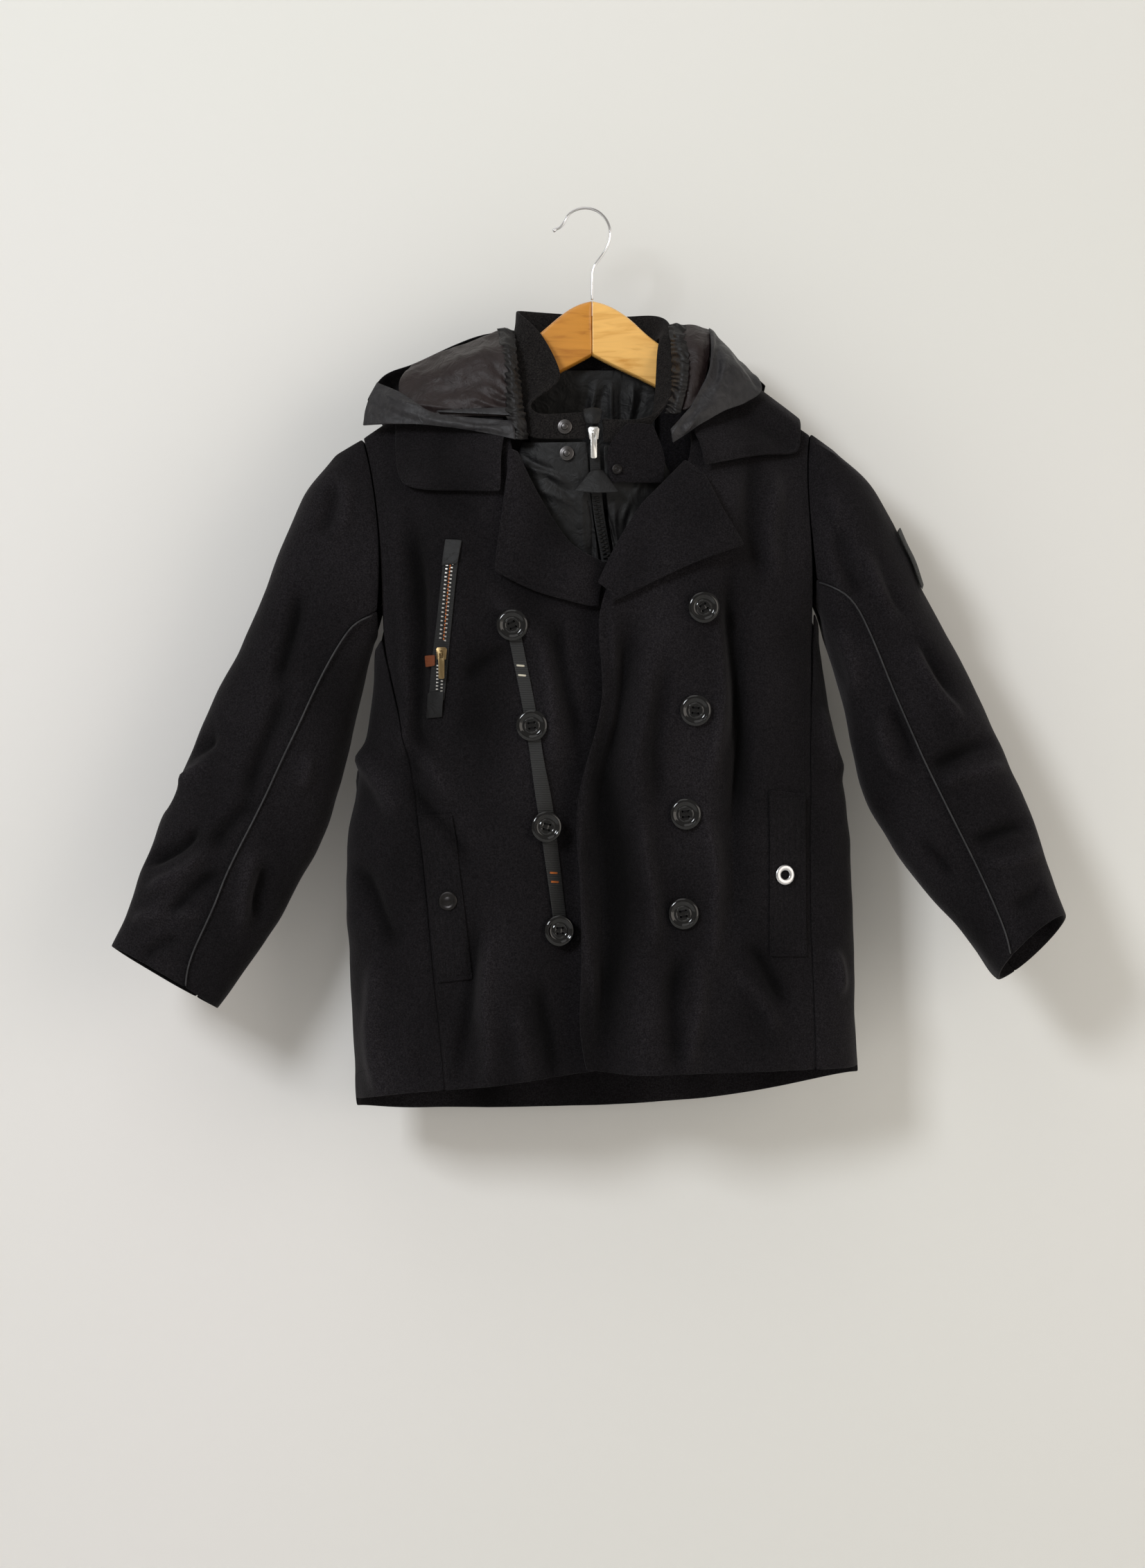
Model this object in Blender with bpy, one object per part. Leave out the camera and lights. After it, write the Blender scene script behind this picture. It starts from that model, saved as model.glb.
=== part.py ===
"""A child's short double-breasted pea coat with a hood and a zipped bib, on a wooden hanger.

All tables are in millimetres, in the coat's own frame: +X towards the wearer's left, -Y to the
front and +Z up. The origin is the inside top of the hanger's hook, where a rail carries it.
Left and right in names are the wearer's. The wearer's left front lies over the right one.
"""

import math

import bmesh
import bpy
import numpy as np
from mathutils import Matrix, Vector
from mathutils.bvhtree import BVHTree

MM = 0.001
FORWARD = np.array([0.0, -1.0, 0.0])
WOOL = 2.4              # wall of the wool cloth
NYLON = 1.2             # wall of the hood, bib and tabs
SEAM = 0.3              # gap between two pieces at a seam
ARMHOLE_GAP = 1.1       # the same where a sleeve's ring meets the panels
ARMPIT_GAP = 6.2        # and at the armpit, where the two walls lie side by side
RIDGE_ROUND = 11.0      # radius of the shoulder line over the hanger
BODY_POWER = 3.0        # how square the body's section is from above
FRONT_GROWTH = 110.0    # distance below the shoulder where the front reaches its depth
BACK_GROWTH = 150.0
PANEL_ROWS = 22
ROUND_ROWS = (0.0, 0.09, 0.36, 1.0)   # first rows of a panel, as parts of RIDGE_ROUND

# Shoulder line: x, z. Between the neck points it is only a guide for the neck.
SHOULDER_LINE = (
    (-192, -196), (-175.5, -184), (-147, -165), (-100, -136), (-57, -108), (-30, -95),
    (6, -89), (40, -94), (68, -106), (100, -128), (147, -160), (177, -181), (194, -192),
)
# Side outlines of the body, z and x. Above the armpits they pass inside the sleeves.
OUTLINE_RIGHT = (
    (-720, -179), (-680, -181), (-614, -185), (-548, -186), (-482, -183.5), (-440, -176),
    (-400, -169), (-349, -165), (-300, -182), (-250, -195), (-200, -190), (-180, -184),
)
OUTLINE_LEFT = (
    (-720, 216.5), (-664, 214.5), (-598, 212), (-532, 208.5), (-475, 206), (-440, 200),
    (-400, 193), (-327, 183), (-290, 195), (-250, 203), (-200, 194), (-176, 184),
)
# Front princess seams, which run on up as the armhole seams: z, x.
SEAM_RIGHT = (
    (-720, -108), (-673, -111), (-630, -116), (-528, -126), (-427, -139), (-346, -157),
    (-275, -159), (-194, -172), (-180, -176),
)
SEAM_LEFT = (
    (-720, 180), (-670, 178.5), (-579, 176), (-427, 176), (-325, 177.5), (-295, 177.5),
    (-191, 176), (-176, 178),
)
# Back armholes down to the armpit, where they meet the side outline: z, x.
ARMHOLE_BACK_RIGHT = (
    (-349, -165), (-320, -157), (-270, -152), (-220, -157), (-184, -174), (-176, -179),
)
ARMHOLE_BACK_LEFT = (
    (-327, 183), (-300, 171), (-250, 163), (-210, 166), (-181, 176), (-174, 181),
)
# Front edges and roll lines: z, x.
EDGE_RIGHT = (
    (-720, 56), (-335, 55), (-306, 38), (-291, 14), (-274, -17), (-243, -38), (-219, -49),
    (-196, -58), (-150, -60), (-100, -57),
)
EDGE_LEFT = (
    (-720, -1), (-675, 0), (-649, -5.5), (-614, -3.5), (-589, -3), (-524, -4.5),
    (-484, -8), (-469, -8), (-445, -1), (-415, 8), (-393, 14), (-372, 13.5), (-351, 10.5),
    (-334, 8.5), (-320, 9), (-303, 16), (-274, 30), (-243, 49), (-204, 85), (-185, 84),
    (-150, 76), (-98, 68),
)
# Hems: x, z.
HEM_RIGHT = ((-190, -708), (-168, -702), (-79, -691), (2, -680), (60, -674))
HEM_LEFT = ((-10, -675), (0, -677), (89, -680), (145, -679), (220, -679))
HEM_BACK = ((-190, -709), (-165, -714), (-73, -717), (33, -715), (138, -704), (220, -683))
NECK_SCOOP = ((-60, 0), (-30, 18), (6, 26), (40, 19), (68, 0))   # below the guide line
# Depths from the hanger's plane: z, front depth, back depth.
DEPTHS = (
    (-720, 62, 46), (-600, 58, 44), (-450, 58, 46), (-300, 60, 43), (-200, 57, 36),
    (-80, 50, 30),
)
# Largest folds of the body: name, x and z at the top, x and z below, half width, height.
FRONT_FOLDS = (
    ("trough by the right seam", -135, -232, -124, -455, 11, -6.0),
    ("ridge beside the chest zip", -87, -270, -90, -430, 15, 4.5),
    ("drag under the zip", -120, -405, -104, -500, 13, 3.5),
    ("ridge above the right hem", -70, -560, -64, -760, 15, 4.5),
    ("trough beside it", -98, -545, -92, -760, 13, -4.0),
    ("side ridge, right", -160, -400, -152, -560, 12, 4.0),
    ("hollow by the right buttons", -12, -400, -20, -640, 13, -3.5),
    ("first ridge, left", 46, -330, 37, -520, 12, 6.5),
    ("first ridge, low", 40, -480, 48, -760, 13, 6.0),
    ("hollow on the buttons", 66, -360, 64, -660, 11, -4.0),
    ("second ridge, left", 103, -345, 92, -600, 10, 6.0),
    ("deep trough, left", 118, -285, 113, -600, 8, -8.5),
    ("third ridge, left", 137, -250, 134, -560, 12, 5.0),
    ("ridge at the left hem", 86, -560, 74, -760, 12, 4.0),
    ("ridge under the left pocket", 150, -600, 142, -760, 13, 3.5),
    ("dip below the left shoulder", 130, -195, 124, -300, 14, -4.0),
)
BACK_FOLDS = (
    ("back ridge, right", -96, -250, -108, -760, 22, 5.0),
    ("back trough, right", -48, -280, -54, -760, 18, -4.5),
    ("middle ridge", 12, -330, 6, -760, 22, 4.5),
    ("back trough, left", 66, -300, 76, -760, 18, -4.5),
    ("back ridge, left", 122, -250, 136, -760, 22, 5.0),
)
# How the left front stands over the right one.
OVERLAP_LIFT = 7.0
OVERLAP_REACH = 60.0
EDGE_VALLEY = (17.0, 10.0, 11.0)   # distance behind the edge, half width and depth
UNDERLAP_DROP = 12.0

# Sleeve stations: outer x and z, inner x and z, centre y, half depth, forward tilt.
SLEEVE_RIGHT = (
    (-206, -202, -172, -364, 0, 41, 0), (-226.5, -235, -177, -384, 0, 43, 0),
    (-247.5, -284, -183, -411, 0, 43, 0), (-268.5, -334, -190, -441, 0, 41, 0),
    (-291.5, -383, -197, -471, -1, 40, 1), (-313.5, -433, -206.5, -502, -3, 38, 2),
    (-334.5, -480, -220.5, -527.5, -7, 36, 3), (-347.5, -515, -236.5, -556.5, -12, 34, 4),
    (-359.5, -551, -254.5, -588, -18, 30, 4), (-369.5, -576, -274.5, -615.5, -22, 27, 4),
    (-373, -583, -287, -633, -25, 25, 4),
)
SLEEVE_LEFT = (
    (204, -196.5, 191, -342, 0, 41, 0), (228, -218.5, 198, -364, 0, 43, 0),
    (254, -268, 205, -392, 0, 43, 0), (275.5, -317.5, 210, -421, 0, 41, 0),
    (299, -358.5, 214, -449, -2, 40, 1), (319, -400, 223, -474, -5, 39, 2),
    (335, -441, 245, -507, -10, 38, 4), (350, -479.5, 270, -542, -16, 37, 6),
    (362, -515.5, 292, -571.5, -23, 36, 8), (373, -545.5, 312.5, -600.5, -29, 36, 10),
    (377, -558, 322, -609, -33, 36, 11),
)
# Front seam of each sleeve: place along it and angle from the outer edge in degrees.
SLEEVE_SEAM_RIGHT = ((0, 134), (0.1, 124), (0.3, 108), (0.7, 98), (0.9, 104), (1, 114))
SLEEVE_SEAM_LEFT = ((0, 128), (0.1, 116), (0.35, 99), (0.7, 99), (0.9, 108), (1, 118))
SLEEVE_BACK_SEAM = 236.0
SLEEVE_ROWS = 18
# Sleeve folds: name, place along, angle, half length, half angle, turn along it, height.
SLEEVE_FOLDS_RIGHT = (
    ("elbow crease", 0.70, 70, 0.036, 42, -160, -5.4),
    ("elbow ridge", 0.77, 60, 0.032, 45, -130, 3.6),
    ("low crease", 0.84, 50, 0.028, 45, -120, -3.5),
    ("drag from the cap", 0.22, 70, 0.10, 22, 130, -4.0),
    ("long hollow", 0.42, 78, 0.16, 16, 60, -4.0),
    ("under hollow", 0.72, 150, 0.10, 20, -40, -5.0),
    ("back elbow crease", 0.68, 285, 0.04, 45, 120, -4.5),
    ("back drag", 0.30, 290, 0.12, 24, -90, -3.5),
)
SLEEVE_FOLDS_LEFT = (
    ("cap ridge", 0.12, 66, 0.08, 16, -90, 3.5),
    ("cap hollow", 0.22, 100, 0.07, 18, -60, -4.0),
    ("long ridge", 0.40, 58, 0.16, 14, -30, 3.0),
    ("elbow hollow", 0.62, 40, 0.05, 30, 90, -3.5),
    ("under ridge", 0.56, 142, 0.07, 18, 70, 4.0),
    ("low crease", 0.90, 50, 0.03, 40, 60, -2.5),
    ("back elbow crease", 0.66, 290, 0.04, 45, -120, -4.5),
    ("back drag", 0.28, 285, 0.12, 24, 90, -3.5),
)

# Lapels: rails from the roll to the free edge, each point x, z and height over its front.
LAPEL_RIGHT = (
    ((-53, -199, 0), (-44, -219, 0), (-32, -241, 0), (-11, -271, 0), (16, -285, 0)),
    ((-58, -199, 5.5), (-50, -221, 5.5), (-40, -245, 5.5), (-19, -278, 5.5), (9, -293, 5.5)),
    ((-58.5, -205, 6), (-56, -230, 7.5), (-54, -260, 8.5), (-34, -290, 8), (9, -304, 8)),
    ((-58.5, -212, 5.5), (-63.5, -245, 7.5), (-70.5, -292, 8.5), (-34, -309, 7.5), (10, -319, 8.5)),
)
LAPEL_LEFT = (
    ((78, -205, 0), (61, -223, 0), (43, -241, 0), (24, -272, 0), (10, -301, 0)),
    ((82, -212, 6), (68, -229, 6.5), (51, -247, 6.5), (32, -278, 6.5), (16.5, -306, 5)),
    ((86, -217, 6.5), (86, -243, 9), (78, -268, 11), (50, -290, 10), (19, -311, 6)),
    ((91, -221, 6.5), (103, -243, 9), (117, -270, 12), (62, -295.5, 10.5), (19, -317, 6)),
)
# Turned-down collar: neck end x, distance from the shoulder line (front +) and height, then
# the same for the free edge.
FALL_COLLAR = (
    (-61, 82, 5.5, -65, 124, 9.0), (-62.5, 66, 5.5, -96, 104, 8.5),
    (-63, 50, 5.5, -136, 77, 8.0), (-63.5, 33, 5.5, -145, 50, 7.5),
    (-63.5, 14, 5.5, -147, 22, 7.0), (-63, 0, 5.5, -148, 0, 7.0),
    (-60, -16, 5.5, -146, -34, 7.5), (-46, -36, 5.5, -124, -76, 7.5),
    (-22, -50, 5.5, -62, -112, 8.0), (6, -53, 5.5, 6, -122, 8.0),
    (34, -50, 5.5, 74, -112, 8.0), (58, -36, 5.5, 136, -76, 7.5),
    (71, -16, 5.5, 162, -34, 7.5), (74, 0, 5.5, 166, 0, 7.0),
    (75.5, 16, 5.5, 167.5, 16, 7.0), (78, 36, 5.5, 163, 34, 7.5),
    (81, 56, 5.5, 134, 57, 8.5), (84, 76, 5.5, 89, 99, 9.0),
)
# Stand collar inside the neck: base point, then top point.
STAND_COLLAR = (
    (1, -51, -188, 0, -50, -167), (-20, -50, -188, -20, -48.5, -168),
    (-40, -45, -187, -37, -44, -168), (-49, -38, -180, -43, -39, -160),
    (-53, -31, -168, -36, -34, -153), (-55, -25, -155, -25, -29, -146),
    (-56, -20, -142, -18.5, -23, -136), (-57, -15, -128, -24, -17, -120),
    (-57, -11, -112, -34, -13, -101), (-57, -3, -102, -47, -5, -87),
    (-54, 9, -103, -54, 9, -79), (-44, 17, -112, -48, 21, -77),
    (-25, 20, -116, -28, 25, -78), (2, 22, -117, 2, 27, -79.5),
    (28, 21, -117, 32, 26, -81), (46, 17, -112, 54, 20, -80),
    (56, 8, -103, 65, 8, -86), (59, -3, -101, 67.5, -4, -95),
    (56.5, -12, -112, 68.5, -13, -107), (55, -23, -138, 69.5, -24, -124),
    (53, -34, -162, 69.5, -36, -146), (48, -42, -178, 61, -44, -162),
    (36, -47, -187, 46, -48, -171), (26, -50, -190, 31, -50, -173),
    (14, -51, -191, 13, -50, -172),
)
# Bib fronts: rails from the top down, x, y, z.
BIB_RIGHT = (
    ((-49, -37, -189), (-26, -47, -190), (1, -50.5, -190)),
    ((-57, -37, -215), (-28, -45, -216), (3, -48.5, -216)),
    ((-58, -36, -250), (-28, -41, -250), (6, -43.5, -250)),
    ((-54, -33, -290), (-24, -35, -290), (12, -37, -290)),
    ((-52, -30, -345), (-20, -32, -345), (14, -34, -345)),
)
BIB_LEFT = (
    ((14, -50.5, -193), (34, -47, -192), (51, -38, -186)),
    ((15, -48.5, -216), (40, -45, -216), (66, -38, -212)),
    ((18, -43.5, -250), (46, -41, -250), (78, -36, -248)),
    ((24, -37, -290), (52, -35, -290), (86, -33, -290)),
    ((26, -34, -345), (56, -32, -345), (88, -30, -345)),
)
CHIN_TAB = (
    ((32, -54.5, -176), (41, -52.5, -176), (52, -48, -177)),
    ((21, -56, -189), (38, -54, -190), (58, -49, -191)),
    ((16, -55.5, -203), (36, -54, -205), (62, -49, -206)),
    ((20, -54.5, -222), (38, -53, -222), (60, -49, -222)),
)
ZIP_LINE = ((-172, 5.5), (-190, 7), (-236, 9), (-290, 18), (-344, 20))     # z, x

# Hood shell down the back: x, y, z at the top fold, then x and z of the low edge.
HOOD_BACK = (
    (-172, -4, -152, -146, -196), (-160, 4, -131, -124, -234), (-137, 8, -122.5, -100, -264),
    (-105, 10, -107, -76, -288), (-66, 16, -94, -42, -306), (5, 34, -98, 6, -314),
    (72, 18, -94, 54, -306), (98, 10, -93, 90, -288), (120, 8, -118, 114, -262),
    (143, 2, -140, 132, -222),
)
HOOD_PUFF = 27.0        # how far the pouch stands off the back
# Other hood pieces: rails of x, y, z.
HOOD_LINING_RIGHT = (
    ((-141, -26, -157), (-119, -35, -168), (-86, -42, -169), (-56, -47.5, -170)),
    ((-146, -21, -149), (-120, -30, -154), (-88, -37, -152), (-58, -41, -151)),
    ((-146, -14, -137), (-118, -20, -133), (-90, -24, -127), (-61.5, -28, -119)),
    ((-138, -1, -124.5), (-114, -1, -113.5), (-90, 1, -105), (-63.5, 1, -94)),
)
HOOD_WING_RIGHT = (
    ((-164, -12, -139), (-143, -27, -151), (-120, -40, -167), (-90, -47, -172), (-57, -52.5, -175)),
    ((-172, -14, -156), (-148, -30, -163), (-120, -42, -172), (-90, -49, -176.5), (-57, -55.5, -181)),
    ((-175, -16, -173), (-150, -32, -174), (-120, -43, -176), (-88, -51, -180), (-57, -58.5, -187)),
)
HOOD_BRIM_RIGHT = (
    ((-116, -37, -164.5), (-86, -44, -163.5), (-57, -48.5, -163)),
    ((-116, -40, -166), (-86, -46.8, -168), (-57, -52, -170)),
)
HOOD_LINING_LEFT = (
    ((72, -2, -94), (82, -2, -93), (92, -2, -94.5)),
    ((73.5, -16, -106), (83, -20, -108), (92, -22, -109)),
    ((74.5, -29, -136), (82, -32, -136), (89.5, -34, -136)),
    ((74, -44, -166), (78, -46, -165), (82, -46, -160)),
)
HOOD_WING_LEFT = (
    ((98, -3, -95), (98.5, -24, -112), (97, -34, -130), (91, -42, -146), (81, -49, -164), (67, -55, -180)),
    ((112, -5, -110), (118, -24, -127), (112, -35, -144), (100, -44, -158), (86, -51, -172), (68, -56, -185)),
    ((124, -2, -122), (138, -18, -144), (126, -32, -157), (108, -42, -165), (88, -50, -177), (68, -55, -190)),
)
NECK_LINING = ((-235, 6), (-190, 6), (-150, 5), (-126, 2.5))      # z, distance inside the back
NECK_LINING_X = (-44, 56)

# Hanger: distance from the mitre line, top z, low z.
MITRE_X = 5.5
HANGER_HALF_THICKNESS = 6.0
HANGER_RIGHT = (
    (0, -72.6, -116.6), (9, -74.5, -121.5), (20, -80, -127.5), (33, -91, -134),
    (48, -104, -142), (75, -123.5, -157), (110, -146.5, -177), (145, -168.5, -198),
    (155, -177, -201), (159, -182, -198),
)
HANGER_LEFT = (
    (0, -72.6, -116.6), (9, -74.5, -121.5), (21, -80, -127.5), (34, -90, -133.5),
    (45, -102, -139), (72, -119, -153), (105, -140.5, -174), (135, -160.5, -193),
    (146, -169, -196), (150, -174, -193),
)
HOOK_ROUTE = (
    (-25.5, -17.5), (-23.5, -15.6), (-19.5, -13.8), (-16.2, -9.5), (-13.4, -4.2), (-8, -0.2),
    (0, 1.4), (7.5, 0), (13.6, -4), (18, -10), (20, -17), (19.6, -24), (16.5, -31.5),
    (11, -39.5), (7.2, -45), (5.8, -51), (5.5, -60), (5.5, -71.8),
)
HOOK_WIRE = 1.3
HOOK_BALL = 2.1

# Buttons: name, x, z.
BUTTONS = (
    ("button_right_1", -56, -333), ("button_right_2", -41, -410.5), ("button_right_3", -31, -489),
    ("button_right_4", -21, -569.5), ("button_left_1", 90.5, -319.5), ("button_left_2", 85, -399),
    ("button_left_3", 77.5, -479), ("button_left_4", 76, -556),
)
BUTTON_PROFILE = (
    (0, 0), (9.5, 0), (12, 2.0), (11.2, 3.6), (9.4, 3.2), (8.2, 2.4), (0, 2.4),
)
BUTTON_STAND = 0.9      # gap under a button for the sewing
BUTTON_LEAN = 0.6       # how far a button's face turns from the cloth's way to straight ahead
TAPE_WIDTH = 10.0
TAPE_THICK = 1.0
# Patches sewn on the fronts: corners x, z from the top left round to the low left.
WELT_RIGHT = ((-129, -480.5), (-103, -479), (-86, -607.5), (-115, -610.5))
WELT_LEFT = ((140.5, -461), (170.5, -464), (171, -590.5), (142.5, -590))
CHEST_ZIP = ((-109, -280), (-97, -279), (-108, -391), (-120, -392))
ZIP_TAB_TOP = ((-108, -266), (-95, -267), (-97.5, -286), (-110, -287))
ZIP_TAB_LOW = ((-119.5, -385), (-107.5, -384), (-109.5, -404), (-121, -405))
ZIP_TAG = ((-122.5, -356), (-114, -355.5), (-114, -364), (-122, -365))
WELT_SNAP = (-106, -546.5)
WELT_EYELET = (153, -526.5)
SNAP_PROFILE = ((0, 0), (7, 0), (7.6, 0.7), (6.8, 1.5), (4.4, 1.3), (3.6, 0.9), (0, 0.9))
STUD_PROFILE = ((0, 0), (5.4, 0), (5.7, 0.6), (4.6, 1.1), (2.3, 1.2), (2.1, 2.9), (1.5, 3.3), (0, 3.4))
SMALL_SNAP_PROFILE = ((0, 0), (4.2, 0), (4.5, 0.6), (3.9, 1.2), (2.2, 1.0), (1.8, 0.7), (0, 0.7))
NECK_SNAPS = (
    ("snap_stud_top", (-16, -53.2, -178.5), STUD_PROFILE),
    ("snap_stud_low", (-14.5, -51.6, -199), STUD_PROFILE),
    ("chin_snap", (24.5, -58.4, -212), SMALL_SNAP_PROFILE),
)
EYELET_RING = ((3.5, 0.2), (8.0, 0.2), (8.3, 0.9), (7.2, 1.9), (4.4, 1.7), (3.5, 1.1))
CHEST_SLIDER = (-111.5, -58.4, -355.0)
BIB_SLIDER = (6.5, -56.2, -184.0)
PULL_WIDTH = 4.6
PULL_LENGTH = 20.0
PULL_THICK = 1.0
PULL_WINDOW = (2.6, 0.5, 4.0)       # width, then its ends below the axis
PULL_AXIS = (-1.25, 0.4)            # y and z of the pull's axis on its slider

COLOURS = {
    # name: red, green, blue, roughness, metallic
    "wool": (0.012, 0.011, 0.014, 0.9, 0.0),
    "stand_wool": (0.02, 0.018, 0.019, 0.9, 0.0),
    "hood_nylon": (0.05, 0.052, 0.06, 0.5, 0.0),
    "hood_lining": (0.045, 0.03, 0.034, 0.5, 0.0),
    "bib_nylon": (0.014, 0.014, 0.017, 0.45, 0.0),
    "piping": (0.09, 0.09, 0.1, 0.5, 0.0),
    "button_plastic": (0.006, 0.006, 0.007, 0.12, 0.0),
    "tape": (0.02, 0.021, 0.022, 0.7, 0.0),
    "orange": (0.5, 0.13, 0.02, 0.7, 0.0),
    "wood": (0.62, 0.33, 0.1, 0.35, 0.0),
    "chrome": (0.8, 0.8, 0.82, 0.15, 1.0),
    "zip_metal": (0.45, 0.38, 0.3, 0.3, 1.0),
    "dark_metal": (0.05, 0.05, 0.055, 0.3, 1.0),
}


# ---------------------------------------------------------------- curves and surfaces

def smooth(knots, values, at):
    """A smooth curve through values at rising knots, read at the places given."""
    knots = np.asarray(knots, float)
    values = np.asarray(values, float)
    flat = values.reshape(len(knots), -1)
    at = np.clip(np.asarray(at, float), knots[0], knots[-1])
    step = np.diff(knots)[:, None]
    slope = np.diff(flat, axis=0) / step
    inner = (slope[:-1] * step[1:] + slope[1:] * step[:-1]) / (step[1:] + step[:-1])
    tangent = np.vstack([slope[:1], inner, slope[-1:]])
    low = np.clip(np.searchsorted(knots, at.ravel(), side="right") - 1, 0, len(step) - 1)
    width = step[low]
    part = (at.ravel() - knots[low])[:, None] / width
    found = (
        flat[low] * (1 + 2 * part) * (1 - part) ** 2
        + flat[low + 1] * part ** 2 * (3 - 2 * part)
        + tangent[low] * width * part * (1 - part) ** 2
        - tangent[low + 1] * width * part ** 2 * (1 - part)
    )
    return found.reshape(at.shape + values.shape[1:])


def read(table, at, column=1):
    """A column of a short table as a smooth curve over its first column."""
    rows = np.asarray(sorted(row for row in table), float)
    return smooth(rows[:, 0], rows[:, column], at)


def ramp(value):
    """0 below 0, 1 above 1, and an easy curve between."""
    value = np.clip(value, 0.0, 1.0)
    return value * value * (3.0 - 2.0 * value)


def bump(value):
    return np.exp(-value * value)


def fold_height(table, x, z):
    total = np.zeros(np.broadcast(x, z).shape)
    for _, x_top, z_top, x_low, z_low, width, height in table:
        along = (z_top - z) / (z_top - z_low)
        line = x_top + (x_low - x_top) * along
        ends = ramp(along / 0.22) * ramp((1.0 - along) / 0.22)
        total = total + height * ends * bump((x - line) / width)
    return total


def stand_over(x, z):
    """The wearer's left front over the other: a lift near its edge with a valley behind it."""
    behind = x - read(EDGE_LEFT, z)
    distance, width, deep = EDGE_VALLEY
    lift = OVERLAP_LIFT * (1.0 - ramp((behind - OVERLAP_REACH) / OVERLAP_REACH))
    valley = deep * bump((behind - distance) / width) * ramp((-330.0 - z) / 45.0)
    return (lift - valley) * ramp((-205.0 - z) / 40.0)


def tuck_under(x, z):
    """The wearer's right front where it passes under the other one."""
    start = read(EDGE_LEFT, z) - 32.0
    return -UNDERLAP_DROP * ramp((x - start) / 30.0) * ramp((-246.0 - z) / 34.0)


def flat_over(x, z):
    return np.zeros(np.broadcast(x, z).shape)


def stand_out(x, z, side, extra):
    """How far the body stands out from the hanger's plane: side -1 is the front, 1 the back."""
    below = read(SHOULDER_LINE, x) - z
    depth = read(DEPTHS, z, 1 if side < 0 else 2)
    growth = FRONT_GROWTH if side < 0 else BACK_GROWTH
    near = RIDGE_ROUND ** 2 - (RIDGE_ROUND - np.minimum(below, RIDGE_ROUND)) ** 2
    rounded = np.sign(near) * np.sqrt(np.abs(near))
    profile = rounded + (depth - RIDGE_ROUND) * ramp(below / growth)
    low, high = read(OUTLINE_RIGHT, z), read(OUTLINE_LEFT, z)
    across = np.abs(x - (low + high) / 2.0) / ((high - low) / 2.0)
    edge = 1.0 - across ** BODY_POWER
    edge = np.sign(edge) * np.sqrt(np.abs(edge))
    folds = fold_height(FRONT_FOLDS if side < 0 else BACK_FOLDS, x, z)
    return profile * edge * (1.0 + folds / depth) + extra(x, z)


def lay(x, z, side, extra=flat_over, out=0.0):
    """Points on the body's cloth, moved out by a distance along its normal."""
    x, z = np.broadcast_arrays(np.asarray(x, float), np.asarray(z, float))
    reach = stand_out(x, z, side, extra)
    small = 0.3

    def squared(dx, dz):
        value = stand_out(x + dx, z + dz, side, extra)
        return value * np.abs(value)

    normal = np.stack([
        -(squared(small, 0.0) - squared(-small, 0.0)) / (2.0 * small),
        2.0 * side * np.maximum(reach, 0.0),
        -(squared(0.0, small) - squared(0.0, -small)) / (2.0 * small),
    ], axis=-1)
    normal /= np.linalg.norm(normal, axis=-1, keepdims=True)
    point = np.stack([x, side * (np.maximum(reach, 0.0) + SEAM / 2.0), z], axis=-1)
    return point + normal * np.asarray(out, float)[..., None], normal


def lay_by_distance(x, distance, out):
    """The same by distance from the shoulder line along the cloth: + is in front, - behind."""
    x, distance = np.asarray(x, float), np.asarray(distance, float)
    quarter = RIDGE_ROUND * math.pi / 2.0
    away = np.abs(distance)
    round_part = RIDGE_ROUND * (1.0 - np.cos(np.minimum(away, quarter) / RIDGE_ROUND))
    below = round_part + np.maximum(away - quarter, 0.0)
    z = read(SHOULDER_LINE, x) - below
    front, _ = lay(x, z, -1, flat_over, out)
    back, _ = lay(x, z, 1, flat_over, out)
    return np.where((distance >= 0)[..., None], front, back)


def grid_normals(points):
    rows = np.gradient(points, axis=0)
    columns = np.gradient(points, axis=1)
    normal = np.cross(rows, columns)
    return normal / np.linalg.norm(normal, axis=-1, keepdims=True)


def spread(rails, across, along, break_at=None):
    """A grid of points through the rails: rows run across them and columns along them."""
    rails = np.asarray(rails, float)
    count = rails.shape[1]
    if break_at is None:
        places = np.linspace(0.0, count - 1.0, along)
        full = smooth(np.arange(count), np.swapaxes(rails, 0, 1), places)
    else:
        first = (along * break_at) // (count - 1) + 1
        head = np.linspace(0.0, break_at, first)
        tail = np.linspace(break_at, count - 1.0, along - first + 1)[1:]
        left = smooth(np.arange(break_at + 1), np.swapaxes(rails[:, :break_at + 1], 0, 1), head)
        right = smooth(np.arange(break_at, count), np.swapaxes(rails[:, break_at:], 0, 1), tail)
        full = np.concatenate([left, right])
    full = np.swapaxes(full, 0, 1)
    return smooth(np.arange(len(rails)), full, np.linspace(0.0, len(rails) - 1.0, across))


# ---------------------------------------------------------------- meshes

def material(name):
    found = bpy.data.materials.get(name)
    if found:
        return found
    red, green, blue, rough, metal = COLOURS[name]
    found = bpy.data.materials.new(name)
    found.use_nodes = True
    shader = found.node_tree.nodes["Principled BSDF"]
    shader.inputs["Base Color"].default_value = (red, green, blue, 1.0)
    shader.inputs["Roughness"].default_value = rough
    shader.inputs["Metallic"].default_value = metal
    return found


def make(name, points, faces, finish, angle=35.0):
    """One object from points in millimetres and faces, with its normals pointing out."""
    shape = bmesh.new()
    corners = [shape.verts.new(np.asarray(point) * MM) for point in points]
    for face in faces:
        shape.faces.new([corners[index] for index in face])
    bmesh.ops.recalc_face_normals(shape, faces=shape.faces)
    mesh = bpy.data.meshes.new(name)
    shape.to_mesh(mesh)
    shape.free()
    mesh.shade_smooth()
    mesh.set_sharp_from_angle(angle=math.radians(angle))
    mesh.materials.append(material(finish))
    made = bpy.data.objects.new(name, mesh)
    bpy.context.scene.collection.objects.link(made)
    return made


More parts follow.
